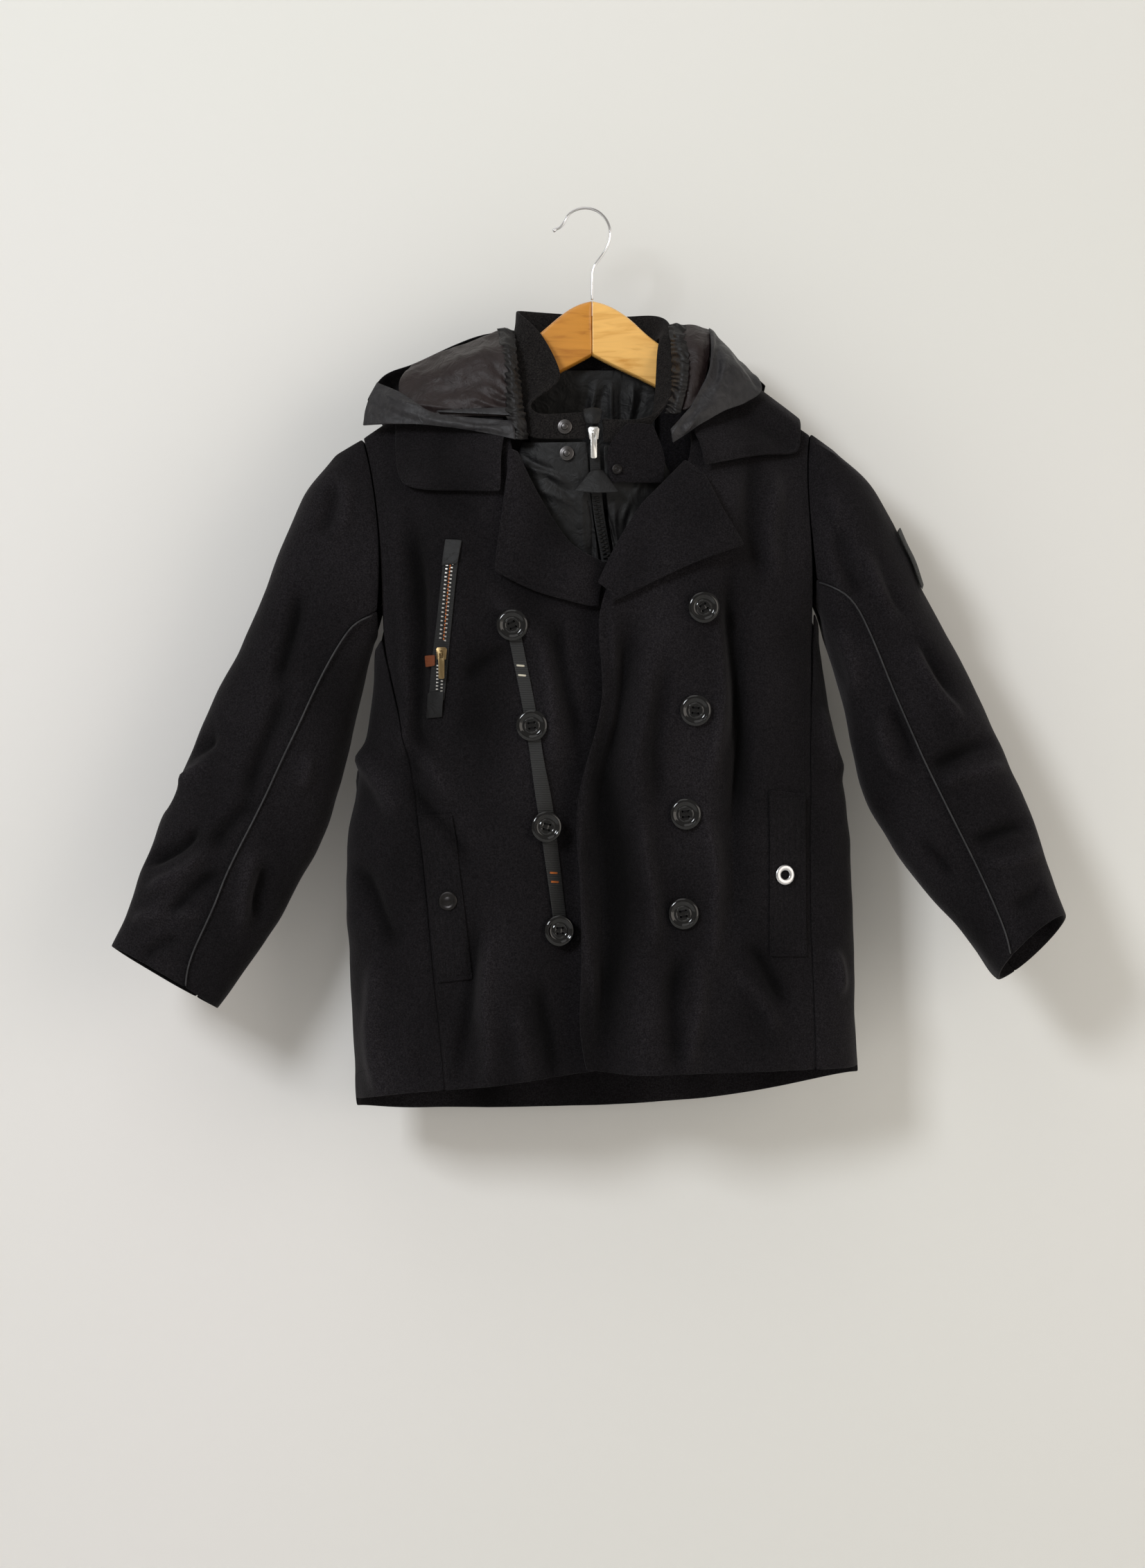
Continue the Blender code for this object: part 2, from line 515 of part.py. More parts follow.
def wall(name, inner, outer, finish):
    """A closed wall between two grids of points with the same rows and columns.

    Both sides of a cell are cut along the same diagonal, the shorter one, so that a deep fold
    never makes the two sides cross.
    """
    rows, columns = inner.shape[:2]
    size = rows * columns
    middle = (inner + outer) / 2.0
    faces = []
    for row in range(rows - 1):
        for column in range(columns - 1):
            a = row * columns + column
            b, c, d = a + 1, a + columns + 1, a + columns
            first = np.linalg.norm(middle[row, column] - middle[row + 1, column + 1])
            second = np.linalg.norm(middle[row, column + 1] - middle[row + 1, column])
            halves = ((a, b, c), (a, c, d)) if first <= second else ((a, b, d), (b, c, d))
            faces += halves
            faces += [tuple(size + index for index in reversed(half)) for half in halves]
    top = list(range(columns))
    right = [row * columns + columns - 1 for row in range(rows)]
    low = [(rows - 1) * columns + column for column in reversed(range(columns))]
    left = [row * columns for row in reversed(range(rows))]
    border = top + right[1:] + low[1:] + left[1:-1]
    for index, start in enumerate(border):
        end = border[(index + 1) % len(border)]
        faces.append((end, start, size + start, size + end))
    points = np.concatenate([inner.reshape(-1, 3), outer.reshape(-1, 3)])
    return make(name, points, faces, finish)


def sheet(name, points, thick, facing, finish):
    """A cloth wall over a grid of points. It grows to the side that facing points to."""
    normal = grid_normals(points)
    if (normal.reshape(-1, 3) @ np.asarray(facing, float)).mean() < 0:
        normal = -normal
    return wall(name, points, points + normal * thick, finish)


def rail_sheet(name, rails, across, along, thick, facing, finish):
    return sheet(name, spread(rails, across, along), thick, facing, finish)


def loft(name, rings, finish, angle=35.0):
    """A closed body through rings of points, capped at both ends."""
    rings = np.asarray(rings, float)
    count, around = rings.shape[:2]
    faces = []
    for ring in range(count - 1):
        for index in range(around):
            a = ring * around + index
            b = ring * around + (index + 1) % around
            faces.append((a, b, b + around, a + around))
    faces.append(tuple(reversed(range(around))))
    faces.append(tuple((count - 1) * around + index for index in range(around)))
    return make(name, rings.reshape(-1, 3), faces, finish, angle)


def tube(name, route, radii, sides, finish):
    """A round wire along a route, with a radius at each of its points."""
    route = np.asarray(route, float)
    ahead = np.gradient(route, axis=0)
    ahead /= np.linalg.norm(ahead, axis=1, keepdims=True)
    side = np.cross(ahead[0], (0.0, 1.0, 0.0) if abs(ahead[0][1]) < 0.9 else (1.0, 0.0, 0.0))
    turns = np.linspace(0.0, 2.0 * math.pi, sides, endpoint=False)
    rings = []
    for point, heading, radius in zip(route, ahead, radii):
        side = side - heading * (side @ heading)
        side = side / np.linalg.norm(side)
        other = np.cross(heading, side)
        rings.append([point + radius * (math.cos(t) * side + math.sin(t) * other) for t in turns])
    return loft(name, rings, finish, 60.0)


def frame_of(normal):
    """Two directions across a normal, the first level."""
    normal = np.asarray(normal, float) / np.linalg.norm(normal)
    level = np.cross((0.0, 0.0, 1.0), normal)
    level /= np.linalg.norm(level)
    return level, np.cross(normal, level), normal


def turned(name, centre, normal, profile, steps, finish):
    """A turned piece standing on a point: its profile is radius and height, axis to axis."""
    level, rise, normal = frame_of(normal)
    turns = np.linspace(0.0, 2.0 * math.pi, steps, endpoint=False)
    rim = [math.cos(t) * level + math.sin(t) * rise for t in turns]
    middle = profile[1:-1]
    points = [centre + normal * profile[0][1]]
    points += [centre + r * way + normal * height for r, height in middle for way in rim]
    points.append(centre + normal * profile[-1][1])
    last = len(points) - 1
    faces = []
    for index in range(steps):
        after = (index + 1) % steps
        faces.append((0, 1 + index, 1 + after))
        for ring in range(len(middle) - 1):
            a, b = 1 + ring * steps + index, 1 + ring * steps + after
            faces.append((a, a + steps, b + steps, b))
        base = 1 + (len(middle) - 1) * steps
        faces.append((base + index, last, base + after))
    return make(name, points, faces, finish, 40.0)


def ring_piece(name, centre, normal, profile, steps, finish):
    """A turned ring: its profile is a closed loop of radius and height."""
    level, rise, normal = frame_of(normal)
    count = len(profile)
    points, faces = [], []
    for step in range(steps):
        t = 2.0 * math.pi * step / steps
        way = math.cos(t) * level + math.sin(t) * rise
        points += [centre + r * way + normal * height for r, height in profile]
        for index in range(count):
            a, b = step * count + index, step * count + (index + 1) % count
            wrap = steps * count
            faces.append((a, b, (b + count) % wrap, (a + count) % wrap))
    return make(name, points, faces, finish, 40.0)


def prism(name, outline, centre, axes, low, high, finish):
    """An outline on two axes, pushed out along the third from low to high."""
    first, second, third = (np.asarray(axis, float) for axis in axes)
    flat = [centre + a * first + b * second for a, b in outline]
    points = [point + third * low for point in flat] + [point + third * high for point in flat]
    count = len(outline)
    faces = [tuple(range(count)), tuple(count + index for index in reversed(range(count)))]
    for index in range(count):
        after = (index + 1) % count
        faces.append((after, index, count + index, count + after))
    return make(name, points, faces, finish, 30.0)


def set_origin(piece, point):
    """Puts an object's origin at a point and leaves its shape where it is."""
    place = Vector((np.asarray(point, float) * MM).tolist())
    piece.data.transform(Matrix.Translation(-place))
    piece.location = place


def boolean(target, helper, operation):
    helper.hide_render = True
    helper.display_type = "WIRE"
    change = target.modifiers.new(operation.lower(), "BOOLEAN")
    change.operation = operation
    change.solver = "EXACT"
    change.object = helper


# ---------------------------------------------------------------- coat body

def row_z(x, row, neck, hem):
    """Height of a panel's row: the first rows round the shoulder, the others run to the hem."""
    top = read(SHOULDER_LINE, x) - neck(x)
    if row < len(ROUND_ROWS):
        return top - RIDGE_ROUND * ROUND_ROWS[row]
    part = (row - len(ROUND_ROWS) + 1) / (PANEL_ROWS - len(ROUND_ROWS))
    return (top - RIDGE_ROUND) * (1.0 - part) + read(hem, x) * part


def panel_grid(start, end, columns, rows, level):
    """Points x, z of a panel between two edges, which give x for z. level gives z for x, row."""
    grid_x, grid_z = [], []
    for row in rows:
        x = np.full(len(columns), 1.0)
        for _ in range(14):
            z = level(x, row)
            low, high = read(OUTLINE_RIGHT, z), read(OUTLINE_LEFT, z)
            centre, half = (low + high) / 2.0, (high - low) / 2.0
            turn_start = np.arccos(np.clip((start(z) - centre) / half, -1.0, 1.0))
            turn_end = np.arccos(np.clip((end(z) - centre) / half, -1.0, 1.0))
            x = centre + half * np.cos(turn_start + (turn_end - turn_start) * columns)
        grid_x.append(x)
        grid_z.append(level(x, row))
    return np.array(grid_x), np.array(grid_z)


def panel(name, start, end, columns, rows, level, side, extra):
    x, z = panel_grid(start, end, columns, rows, level)
    inner, normal = lay(x, z, side, extra)
    add_facets(wall(name, inner, inner + normal * WOOL, "wool"))


def facet_height(name, point, normal):
    """Height of a panel's outer facets over a point, along a normal."""
    far = 30.0
    hit, _, _, distance = facets[name].ray_cast((point + normal * far).tolist(), (-normal).tolist())
    return 0.0 if hit is None else far - distance


def rest_height(name, x, z, extra, reach):
    """The most that a panel's facets rise over its smooth form within reach of each point."""
    most = np.zeros(np.shape(x))
    for dx in (-reach, 0.0, reach):
        for dz in (-reach, 0.0, reach):
            points, normals = lay(x + dx, z + dz, -1, extra)
            for index in np.ndindex(most.shape):
                height = facet_height(name, points[index], normals[index])
                most[index] = max(most[index], height)
    return most


def add_facets(made):
    corners = [corner.co / MM for corner in made.data.vertices]
    faces = [tuple(face.vertices) for face in made.data.polygons]
    facets[made.name] = BVHTree.FromPolygons(corners, faces)


def seat(below, x, z, extra, radius, lean=0.0):
    """Where a flat disc rests on the pieces below it: its centre and the direction it faces.

    lean turns it from the cloth's own direction, at 0, to straight ahead, at 1.
    """
    centre, _ = lay(np.array(x, float), np.array(z, float), -1, extra)
    around = [(radius, 0.0), (-radius, 0.0), (0.0, radius), (0.0, -radius)]
    ways = [lay(np.array(x + dx), np.array(z + dz), -1, extra)[1] for dx, dz in around]
    cloth_way = sum(ways) / np.linalg.norm(sum(ways))
    level, rise, normal = frame_of(cloth_way * (1.0 - lean) + FORWARD * lean)
    most = max(facet_height(piece, centre, normal) for piece in below)
    for step in range(16):
        turn = step * math.pi / 8.0
        for part in (0.5, 1.0):
            edge = centre + radius * part * (math.cos(turn) * level + math.sin(turn) * rise)
            most = max(most, *(facet_height(piece, edge, normal) for piece in below))
    return centre + normal * most, normal


def no_neck(x):
    return np.zeros(np.shape(x))


def neck_scoop(x):
    return np.where((x > -60) & (x < 68), read(NECK_SCOOP, x), 0.0)


def fronts():
    half = SEAM / 2.0
    rows = range(PANEL_ROWS)
    panel(
        "front_right", lambda z: read(SEAM_RIGHT, z) + half, lambda z: read(EDGE_RIGHT, z),
        np.linspace(0.0, 1.0, 17), rows, lambda x, row: row_z(x, row, no_neck, HEM_RIGHT),
        -1, tuck_under,
    )
    panel(
        "front_left", lambda z: read(EDGE_LEFT, z), lambda z: read(SEAM_LEFT, z) - half,
        np.linspace(0.0, 1.0, 18) ** 1.2, rows,
        lambda x, row: row_z(x, row, no_neck, HEM_LEFT), -1, stand_over,
    )


ARMPITS = {
    # side: z where the side panel starts at the front seam, and at the outline
    "right": (-340.0, -350.0),
    "left": (-318.0, -328.0),
}


def side_front(name, seam, outline, hem, armpit, sign):
    """The panel from the princess seam round to the side seam, below the armpit."""
    top, low = armpit

    def level(x, row):
        if row < 0:
            near, far = read(seam, top), read(outline, low)
            return top + (low - top) * np.clip((x - near) / (far - near), 0.0, 1.0)
        return row_z(x, row, no_neck, hem)

    rows = [-1] + [
        row for row in range(PANEL_ROWS) if level(np.array([read(seam, low)]), row)[0] < low - 8.0
    ]
    panel(
        name, lambda z: read(seam, z) + sign * (SEAM / 2.0 + 1.7 * ramp((z - top + 80.0) / 40.0)),
        lambda z: read(outline, z), np.linspace(0.0, 1.0, 5), rows, level, -1, flat_over,
    )


def back():
    def start(z):
        armpit = ARMPITS["right"][1]
        return np.where(z < armpit, read(OUTLINE_RIGHT, z), read(ARMHOLE_BACK_RIGHT, z))

    def end(z):
        armpit = ARMPITS["left"][1]
        return np.where(z < armpit, read(OUTLINE_LEFT, z), read(ARMHOLE_BACK_LEFT, z))

    panel(
        "back", start, end, np.linspace(0.0, 1.0, 16), range(PANEL_ROWS),
        lambda x, row: row_z(x, row, neck_scoop, HEM_BACK), 1, flat_over,
    )


# ---------------------------------------------------------------- sleeves

def armpit_share(turn):
    """How near a turn is to the armpit: 0 over the top of the sleeve and 1 below."""
    away = np.degrees(np.arccos(np.cos(turn)))
    return ramp((away - 95.0) / 45.0)


def armhole_ring(turn, seam, back_hole, outline, armpit, sign):
    """The sleeve's first ring, just outside the armhole seams, with the cloth's normals."""
    top_x = read(back_hole, -183.0)
    top_z = read(SHOULDER_LINE, top_x)
    front_end, low_end = armpit
    low_z = low_end + 6.0
    z = (top_z + low_z) / 2.0 + (top_z - low_z) / 2.0 * np.cos(turn)
    to_rim = np.clip((front_end - z) / (front_end - low_z), 0.0, 1.0)
    front_x = read(seam, z) * (1.0 - to_rim) + read(outline, low_z) * to_rim
    back_x = read(back_hole, z)
    shift = sign * (ARMHOLE_GAP + (ARMPIT_GAP - ARMHOLE_GAP) * armpit_share(turn))
    front, front_normal = lay(front_x + shift, z, -1)
    behind, back_normal = lay(back_x + shift, z, 1)
    in_front = (np.sin(turn) >= 0.0)[..., None]
    return np.where(in_front, front, behind), np.where(in_front, front_normal, back_normal)


def station_ring(station, turn):
    outer_x, outer_z, inner_x, inner_z, centre_y, depth, tilt = station
    outer = np.array([outer_x, 0.0, outer_z])
    inner = np.array([inner_x, 0.0, inner_z])
    centre = (outer + inner) / 2.0 + np.array([0.0, centre_y, 0.0])
    half = (outer - inner) / 2.0
    half *= 1.0 - WOOL / np.linalg.norm(half)
    upward = np.array([-half[2], 0.0, half[0]]) / np.linalg.norm(half)
    upward *= np.sign(upward[2])
    cosine, sine = np.cos(turn)[..., None], np.sin(turn)[..., None]
    flat = np.sign(sine) * np.abs(sine) ** 0.85
    return centre + half * cosine + np.array([0.0, WOOL - depth, 0.0]) * flat + upward * tilt * sine


def sleeve_shape(stations, folds, ring):
    """A function that gives a sleeve's points for a place along it, 0 to 1, and a turn."""
    places = np.linspace(0.0, 1.0, len(stations) + 1)

    def shape(along, turn):
        along, turn = np.broadcast_arrays(np.asarray(along, float), np.asarray(turn, float))
        rings = [ring(turn)[0]] + [station_ring(station, turn) for station in stations]
        rings = np.stack(rings)
        found = np.empty(turn.shape + (3,))
        for index in np.ndindex(turn.shape):
            found[index] = smooth(places, rings[(slice(None),) + index], along[index])
        centre = smooth(places[1:], [station_ring(s, np.array([0.0, math.pi])).mean(axis=0)
                                     for s in stations], np.maximum(along, places[1]))
        push = np.zeros(turn.shape)
        degrees = np.degrees(turn) % 360.0
        for _, place, angle, length, width, twist, height in folds:
            middle = angle + twist * (along - place)
            off = (degrees - middle + 180.0) % 360.0 - 180.0
            push = push + height * bump((along - place) / length) * bump(off / width)
        push = push * ramp(along / 0.12) * ramp((1.0 - along) / 0.05)
        way = found - centre
        way = way / np.linalg.norm(way, axis=-1, keepdims=True)
        return found + way * push[..., None]

    return shape


def sleeve_normals(shape, along, turn, sign):
    small = 1e-3
    by_length = shape(np.minimum(along + small, 1.0), turn) - shape(np.maximum(along - small, 0.0), turn)
    by_turn = shape(along, turn + small) - shape(along, turn - small)
    normal = np.cross(by_length, by_turn) * -sign
    return normal / np.linalg.norm(normal, axis=-1, keepdims=True)


def sleeve_piece(name, shape, ring, first, last, columns, sign):
    along = np.linspace(0.0, 1.0, SLEEVE_ROWS)[:, None] * np.ones((1, columns))
    part = np.linspace(0.0, 1.0, columns)[None, :]
    turn = first(along) + (last(along) - first(along)) * part
    inner = shape(along, turn)
    normal = sleeve_normals(shape, np.maximum(along, 0.04), turn, sign)
    own = armpit_share(turn[0])[:, None]
    normal[0] = ring(turn[0])[1] * (1.0 - own) + normal[0] * own
    normal[0] /= np.linalg.norm(normal[0], axis=-1, keepdims=True)
    wall(name, inner, inner + normal * WOOL, "wool")


def sleeves():
    sides = {
        "right": (SLEEVE_RIGHT, SLEEVE_FOLDS_RIGHT, SLEEVE_SEAM_RIGHT, SEAM_RIGHT,
                  ARMHOLE_BACK_RIGHT, OUTLINE_RIGHT, -1.0),
        "left": (SLEEVE_LEFT, SLEEVE_FOLDS_LEFT, SLEEVE_SEAM_LEFT, SEAM_LEFT,
                 ARMHOLE_BACK_LEFT, OUTLINE_LEFT, 1.0),
    }
    slit = SEAM / 2.0 / 40.0
    shapes = {}
    for side, (stations, folds, seam, front_seam, back_hole, outline, sign) in sides.items():
        def ring(turn, at=(front_seam, back_hole, outline, ARMPITS[side], sign)):
            return armhole_ring(turn, *at)

        def front_turn(along, table=seam):
            return np.radians(read(table, along))

        def back_turn(along):
            return np.full(np.shape(along), math.radians(SLEEVE_BACK_SEAM))

        shape = sleeve_shape(stations, folds, ring)
        sleeve_piece(
            "sleeve_top_" + side, shape, ring, lambda a: back_turn(a) - 2.0 * math.pi + slit,
            lambda a: front_turn(a) - slit, 13, sign,
        )
        sleeve_piece(
            "sleeve_under_" + side, shape, ring, lambda a: front_turn(a) + slit,
            lambda a: back_turn(a) - slit, 8, sign,
        )
        along = np.linspace(0.03, 0.995, 22)
        turn = front_turn(along)
        normal = sleeve_normals(shape, along, turn, sign)
        route = shape(along, turn) + normal * (WOOL + 2.1)
        tube("sleeve_piping_" + side, route, np.full(len(route), 0.9), 5, "piping")
        shapes[side] = (shape, sign)
    shape, sign = shapes["left"]
    along = np.linspace(0.245, 0.325, 4)[:, None] * np.ones((1, 6))
    turn = np.radians(np.linspace(-16.0, 24.0, 6))[None, :] * np.ones((4, 1))
    base = shape(along, turn)
    normal = sleeve_normals(shape, along, turn, sign)
    wall("sleeve_patch", base + normal * (WOOL + 1.6), base + normal * (WOOL + 2.6), "tape")


# ---------------------------------------------------------------- collars and lapels

def lapel(name, rails, side_extra, break_at):
    grid = spread(rails, 7, 13, break_at)
    points, _ = lay(grid[..., 0], grid[..., 1], -1, side_extra, grid[..., 2])
    sheet(name, points, WOOL, FORWARD, "wool")


def collars():
    lapel("lapel_right", LAPEL_RIGHT, tuck_under, 2)
    lapel("lapel_left", LAPEL_LEFT, stand_over, 2)
    table = np.asarray(FALL_COLLAR, float)
    rails = np.stack([table[:, :3], table[:, 3:]])
    swell = (rails[0] + rails[1]) / 2.0 + np.array([0.0, 0.0, 2.0])
    grid = spread(np.stack([rails[0], swell, rails[1]]), 6, 35)
    points = lay_by_distance(grid[..., 0], grid[..., 1], grid[..., 2])
    normal = grid_normals(points)
    away = points - points.mean(axis=(0, 1)) - np.array([0.0, 0.0, -60.0])
    if (normal * away).sum() < 0:
        normal = -normal
    wall("fall_collar", points, points + normal * WOOL, "wool")
    table = np.asarray(STAND_COLLAR, float)
    grid = spread(np.stack([table[:, :3], table[:, 3:]]), 4, 37)
    normal = grid_normals(grid)
    away = grid - np.array([5.0, -12.0, -140.0])
    if (normal * away).sum() < 0:
        normal = -normal
    wall("stand_collar", grid, grid + normal * WOOL, "stand_wool")
    rail_sheet("chin_tab", CHIN_TAB, 8, 6, WOOL, FORWARD, "wool")


def hood():
    table = np.asarray(HOOD_BACK, float)
    columns = 20
    places = np.linspace(0.0, len(table) - 1.0, columns)
    line = smooth(np.arange(len(table)), table, places)
    rows = []
    for part in (0.0, 0.03, 0.08, 0.16, 0.3, 0.46, 0.62, 0.78, 0.9, 1.0):
        x = line[:, 0] + (line[:, 3] - line[:, 0]) * part
        z = line[:, 2] + (line[:, 4] - line[:, 2]) * part
        cloth = np.maximum(stand_out(x, z, 1, flat_over), 0.0)
        puff = math.sqrt(1.0 - (1.0 - min(part / 0.3, 1.0)) ** 2)
        tuck = 1.0 - 0.5 * ramp((part - 0.75) / 0.25)
        eased = line[:, 1] * (1.0 - ramp(part / 0.3))
        y = eased + cloth * ramp(part / 0.3) + HOOD_PUFF * puff * tuck
        rows.append(np.stack([x, y, z], axis=-1))
    sheet("hood_back", np.array(rows), NYLON, (0.0, 1.0, 0.0), "hood_nylon")
    front = (0.0, -1.0, 0.2)
    rail_sheet("hood_lining_right", HOOD_LINING_RIGHT, 8, 10, NYLON, front, "hood_lining")
    rail_sheet("hood_wing_right", HOOD_WING_RIGHT, 5, 13, NYLON, front, "hood_nylon")
    rail_sheet("hood_brim_right", HOOD_BRIM_RIGHT, 3, 8, NYLON, front, "hood_nylon")
    rail_sheet("hood_lining_left", HOOD_LINING_LEFT, 8, 4, NYLON, front, "hood_lining")
    rail_sheet("hood_wing_left", HOOD_WING_LEFT, 6, 13, NYLON, front, "hood_nylon")


def bib():
    rail_sheet("bib_right", BIB_RIGHT, 9, 6, NYLON, FORWARD, "bib_nylon")
    rail_sheet("bib_left", BIB_LEFT, 9, 6, NYLON, FORWARD, "bib_nylon")
    z = np.linspace(-191.0, -344.0, 9)[:, None] * np.ones((1, 3))
    x = read(ZIP_LINE, z) + np.array([-4.2, 0.0, 4.2])
    y = smooth((-345, -290, -250, -216, -190), (-35, -38, -44.5, -49.5, -51.5), z)
    points = np.stack([x, y, z], axis=-1)
    sheet("bib_zip", points, 1.6, FORWARD, "tape")
    z = np.linspace(NECK_LINING[-1][0], NECK_LINING[0][0], 5)[:, None] * np.ones((1, 10))
    x = np.linspace(*NECK_LINING_X, 10)[None, :] * np.ones((5, 1))
    y = np.maximum(stand_out(x, z, 1, flat_over) - read(NECK_LINING, z), 9.0)
    sheet("neck_lining", np.stack([x, y, z], axis=-1), 1.0, FORWARD, "bib_nylon")


# ---------------------------------------------------------------- trims on the fronts

def cover(name, x, z, on, out, thick, finish):
    """A thin piece over a grid of points on a front, made from the front's own points."""
    below, extra = on
    reach = 0.5 * max(np.abs(np.diff(x, axis=1)).max(), np.abs(np.diff(z, axis=0)).max())
    height = np.maximum.reduce([rest_height(piece, x, z, extra, min(reach, 6.0)) for piece in below]) + out
    low, _ = lay(x, z, -1, extra, height)
    high, _ = lay(x, z, -1, extra, height + thick)
    add_facets(wall(name, low, high, finish))


def patch(name, corners, on, out, thick, across, along, finish):
    """A cover with four corners, from the top left round to the low left."""
    a, b, c, d = (np.asarray(corner, float) for corner in corners)
    u = np.linspace(0.0, 1.0, across)[None, :, None]
    v = np.linspace(0.0, 1.0, along)[:, None, None]
    flat = (a * (1 - u) + b * u) * (1 - v) + (d * (1 - u) + c * u) * v
    cover(name, flat[..., 0], flat[..., 1], on, out, thick, finish)


ON_RIGHT = (("front_right",), tuck_under)
ON_LEFT = (("front_left",), stand_over)
ON_ZIP = (("front_right", "chest_zip"), tuck_under)
ON_TAPE = (("front_right", "button_tape"), tuck_under)


def trims():
    points = np.array([(x, z) for name, x, z in BUTTONS if "right" in name], float)
    places = np.linspace(0.06, 2.94, 22)
    line = smooth(np.arange(4), points, places)
    x = line[:, :1] + np.array([-TAPE_WIDTH / 2.0, 0.0, TAPE_WIDTH / 2.0])
    z = line[:, 1:] * np.ones((1, 3))
    cover("button_tape", x, z, ON_RIGHT, 0.6, TAPE_THICK, "tape")
    for name, x, z in BUTTONS:
        radius = BUTTON_PROFILE[2][0]
        below, extra = ON_TAPE if "right" in name else ON_LEFT
        centre, normal = seat(below, x, z, extra, radius, BUTTON_LEAN)
        turned(name, centre + normal * BUTTON_STAND, normal, BUTTON_PROFILE, 12, "button_plastic")
    patch("pocket_welt_right", WELT_RIGHT, ON_RIGHT, 0.8, 1.8, 4, 9, "wool")
    patch("pocket_welt_left", WELT_LEFT, ON_LEFT, 0.8, 1.8, 4, 9, "wool")
    patch("chest_zip", CHEST_ZIP, ON_RIGHT, 0.5, 1.2, 3, 9, "tape")
    patch("zip_tab_top", ZIP_TAB_TOP, ON_ZIP, 0.5, 1.0, 3, 3, "bib_nylon")
    patch("zip_tab_low", ZIP_TAB_LOW, ON_ZIP, 0.5, 1.0, 3, 3, "bib_nylon")
    patch("zip_tag", ZIP_TAG, ON_ZIP, 0.5, 0.8, 3, 3, "orange")
    centre, normal = seat(("pocket_welt_right",), *WELT_SNAP, tuck_under, 8.0)
    turned("welt_snap", centre + normal * 0.4, normal, SNAP_PROFILE, 12, "dark_metal")
    centre, normal = seat(("pocket_welt_left",), *WELT_EYELET, stand_over, 8.5)
    ring_piece("welt_eyelet", centre + normal * 0.4, normal, EYELET_RING, 16, "chrome")


def neck_snaps():
    for name, place, profile in NECK_SNAPS:
        turned(name, np.array(place, float), FORWARD, profile, 10, "dark_metal")


def slider_and_pull(slider_name, pull_name, centre, across, down, outward):
    """A zip slider with an arch, and a pull tab whose top bar turns under the arch."""
    block = ((-3.4, -4.5), (3.4, -4.5), (4.2, 3.5), (3.0, 5.0), (-3.0, 5.0), (-4.2, 3.5))
    axes = (across, -down, outward)
    slider = prism(slider_name, block, centre, axes, -2.4, 0.0, "zip_metal")
    arch_outline = (
        (-0.5, 2.6), (1.5, 2.6), (2.4, 1.9), (3.2, 1.0), (3.2, -0.6), (2.4, -1.8), (-0.5, -1.8),
        (-0.5, -1.0), (1.8, -1.0), (2.4, -0.4), (2.4, 0.9), (1.8, 1.7), (-0.5, 1.7),
    )
    arch = prism(slider_name + "_arch", arch_outline, centre, (outward, -down, across),
                 -0.6, 0.6, "zip_metal")
    boolean(slider, arch, "UNION")
    depth, rise = PULL_AXIS
    axis = centre - outward * depth - down * rise
    half, end = PULL_WIDTH / 2.0, -PULL_LENGTH
    plate = ((-half, 0.5), (half, 0.5), (half, end + 0.8), (half - 0.8, end), (0.8 - half, end),
             (-half, end + 0.8))
    thick = PULL_THICK / 2.0
    pull = prism(pull_name, plate, axis, axes, -thick, thick, "zip_metal")
    wide, near, far = PULL_WINDOW
    hole = ((-wide / 2, -near), (wide / 2, -near), (wide / 2, -far), (-wide / 2, -far))
    cutter = prism(pull_name + "_window", hole, axis, axes, -2.0, 2.0, "zip_metal")
    boolean(pull, cutter, "DIFFERENCE")
    set_origin(pull, axis)


def zips():
    level = np.array([1.0, 0.0, 0.0])
    down = np.array([0.0, 0.0, -1.0])
    slider_and_pull("bib_slider", "bib_zip_pull", np.array(BIB_SLIDER), level, down, FORWARD)
    slider_and_pull("chest_slider", "chest_zip_pull", np.array(CHEST_SLIDER), level, down, FORWARD)
    loop = ((-1.5, -50.8, -165.5), (5.5, -53.5, -164), (12.5, -50.8, -165.5))
    low = ((0.5, -54.5, -176), (5.5, -57.4, -177), (10.5, -54.5, -176))
    mid = ((-1, -54.5, -170), (5.5, -56.8, -170), (12, -54.5, -170))
    rail_sheet("zip_loop", (loop, mid, low), 5, 5, NYLON, FORWARD, "bib_nylon")
    top = ((4, -54, -213), (9, -55, -212), (14, -54, -213))
    edge = ((-9, -57, -229), (9, -61, -231), (26, -60.5, -230))
    rail_sheet("zip_flap", (top, edge), 5, 6, NYLON, FORWARD, "bib_nylon")


# ---------------------------------------------------------------- hanger

def hanger_half(name, stations, sign):
    rings = []
    corner = 2.2
    half = HANGER_HALF_THICKNESS
    for distance, top, low in stations:
        x = MITRE_X + sign * (SEAM / 2.0 + distance)
        rings.append([
            (x, -half, top - corner), (x, corner - half, top - 0.5), (x, 0.0, top),
            (x, half - corner, top - 0.5), (x, half, top - corner), (x, half, (top + low) / 2.0),
            (x, half, low + corner), (x, half - corner, low + 0.5), (x, 0.0, low),
            (x, corner - half, low + 0.5), (x, -half, low + corner), (x, -half, (top + low) / 2.0),
        ])
    loft(name, rings, "wood")


def hanger():
    hanger_half("hanger_wood_right", HANGER_RIGHT, -1.0)
    hanger_half("hanger_wood_left", HANGER_LEFT, 1.0)
    count = len(HOOK_ROUTE)
    places = np.linspace(0.0, count - 1.0, 38)
    line = smooth(np.arange(count), np.asarray(HOOK_ROUTE, float), places)
    route = np.stack([line[:, 0], np.zeros(len(line)), line[:, 1]], axis=-1)
    swell = bump((places - 0.35) / 0.55) * (HOOK_BALL - HOOK_WIRE)
    radii = HOOK_WIRE + swell
    radii[0] = 1.1
    tube("hanger_hook", route, radii, 7, "chrome")


facets = {}


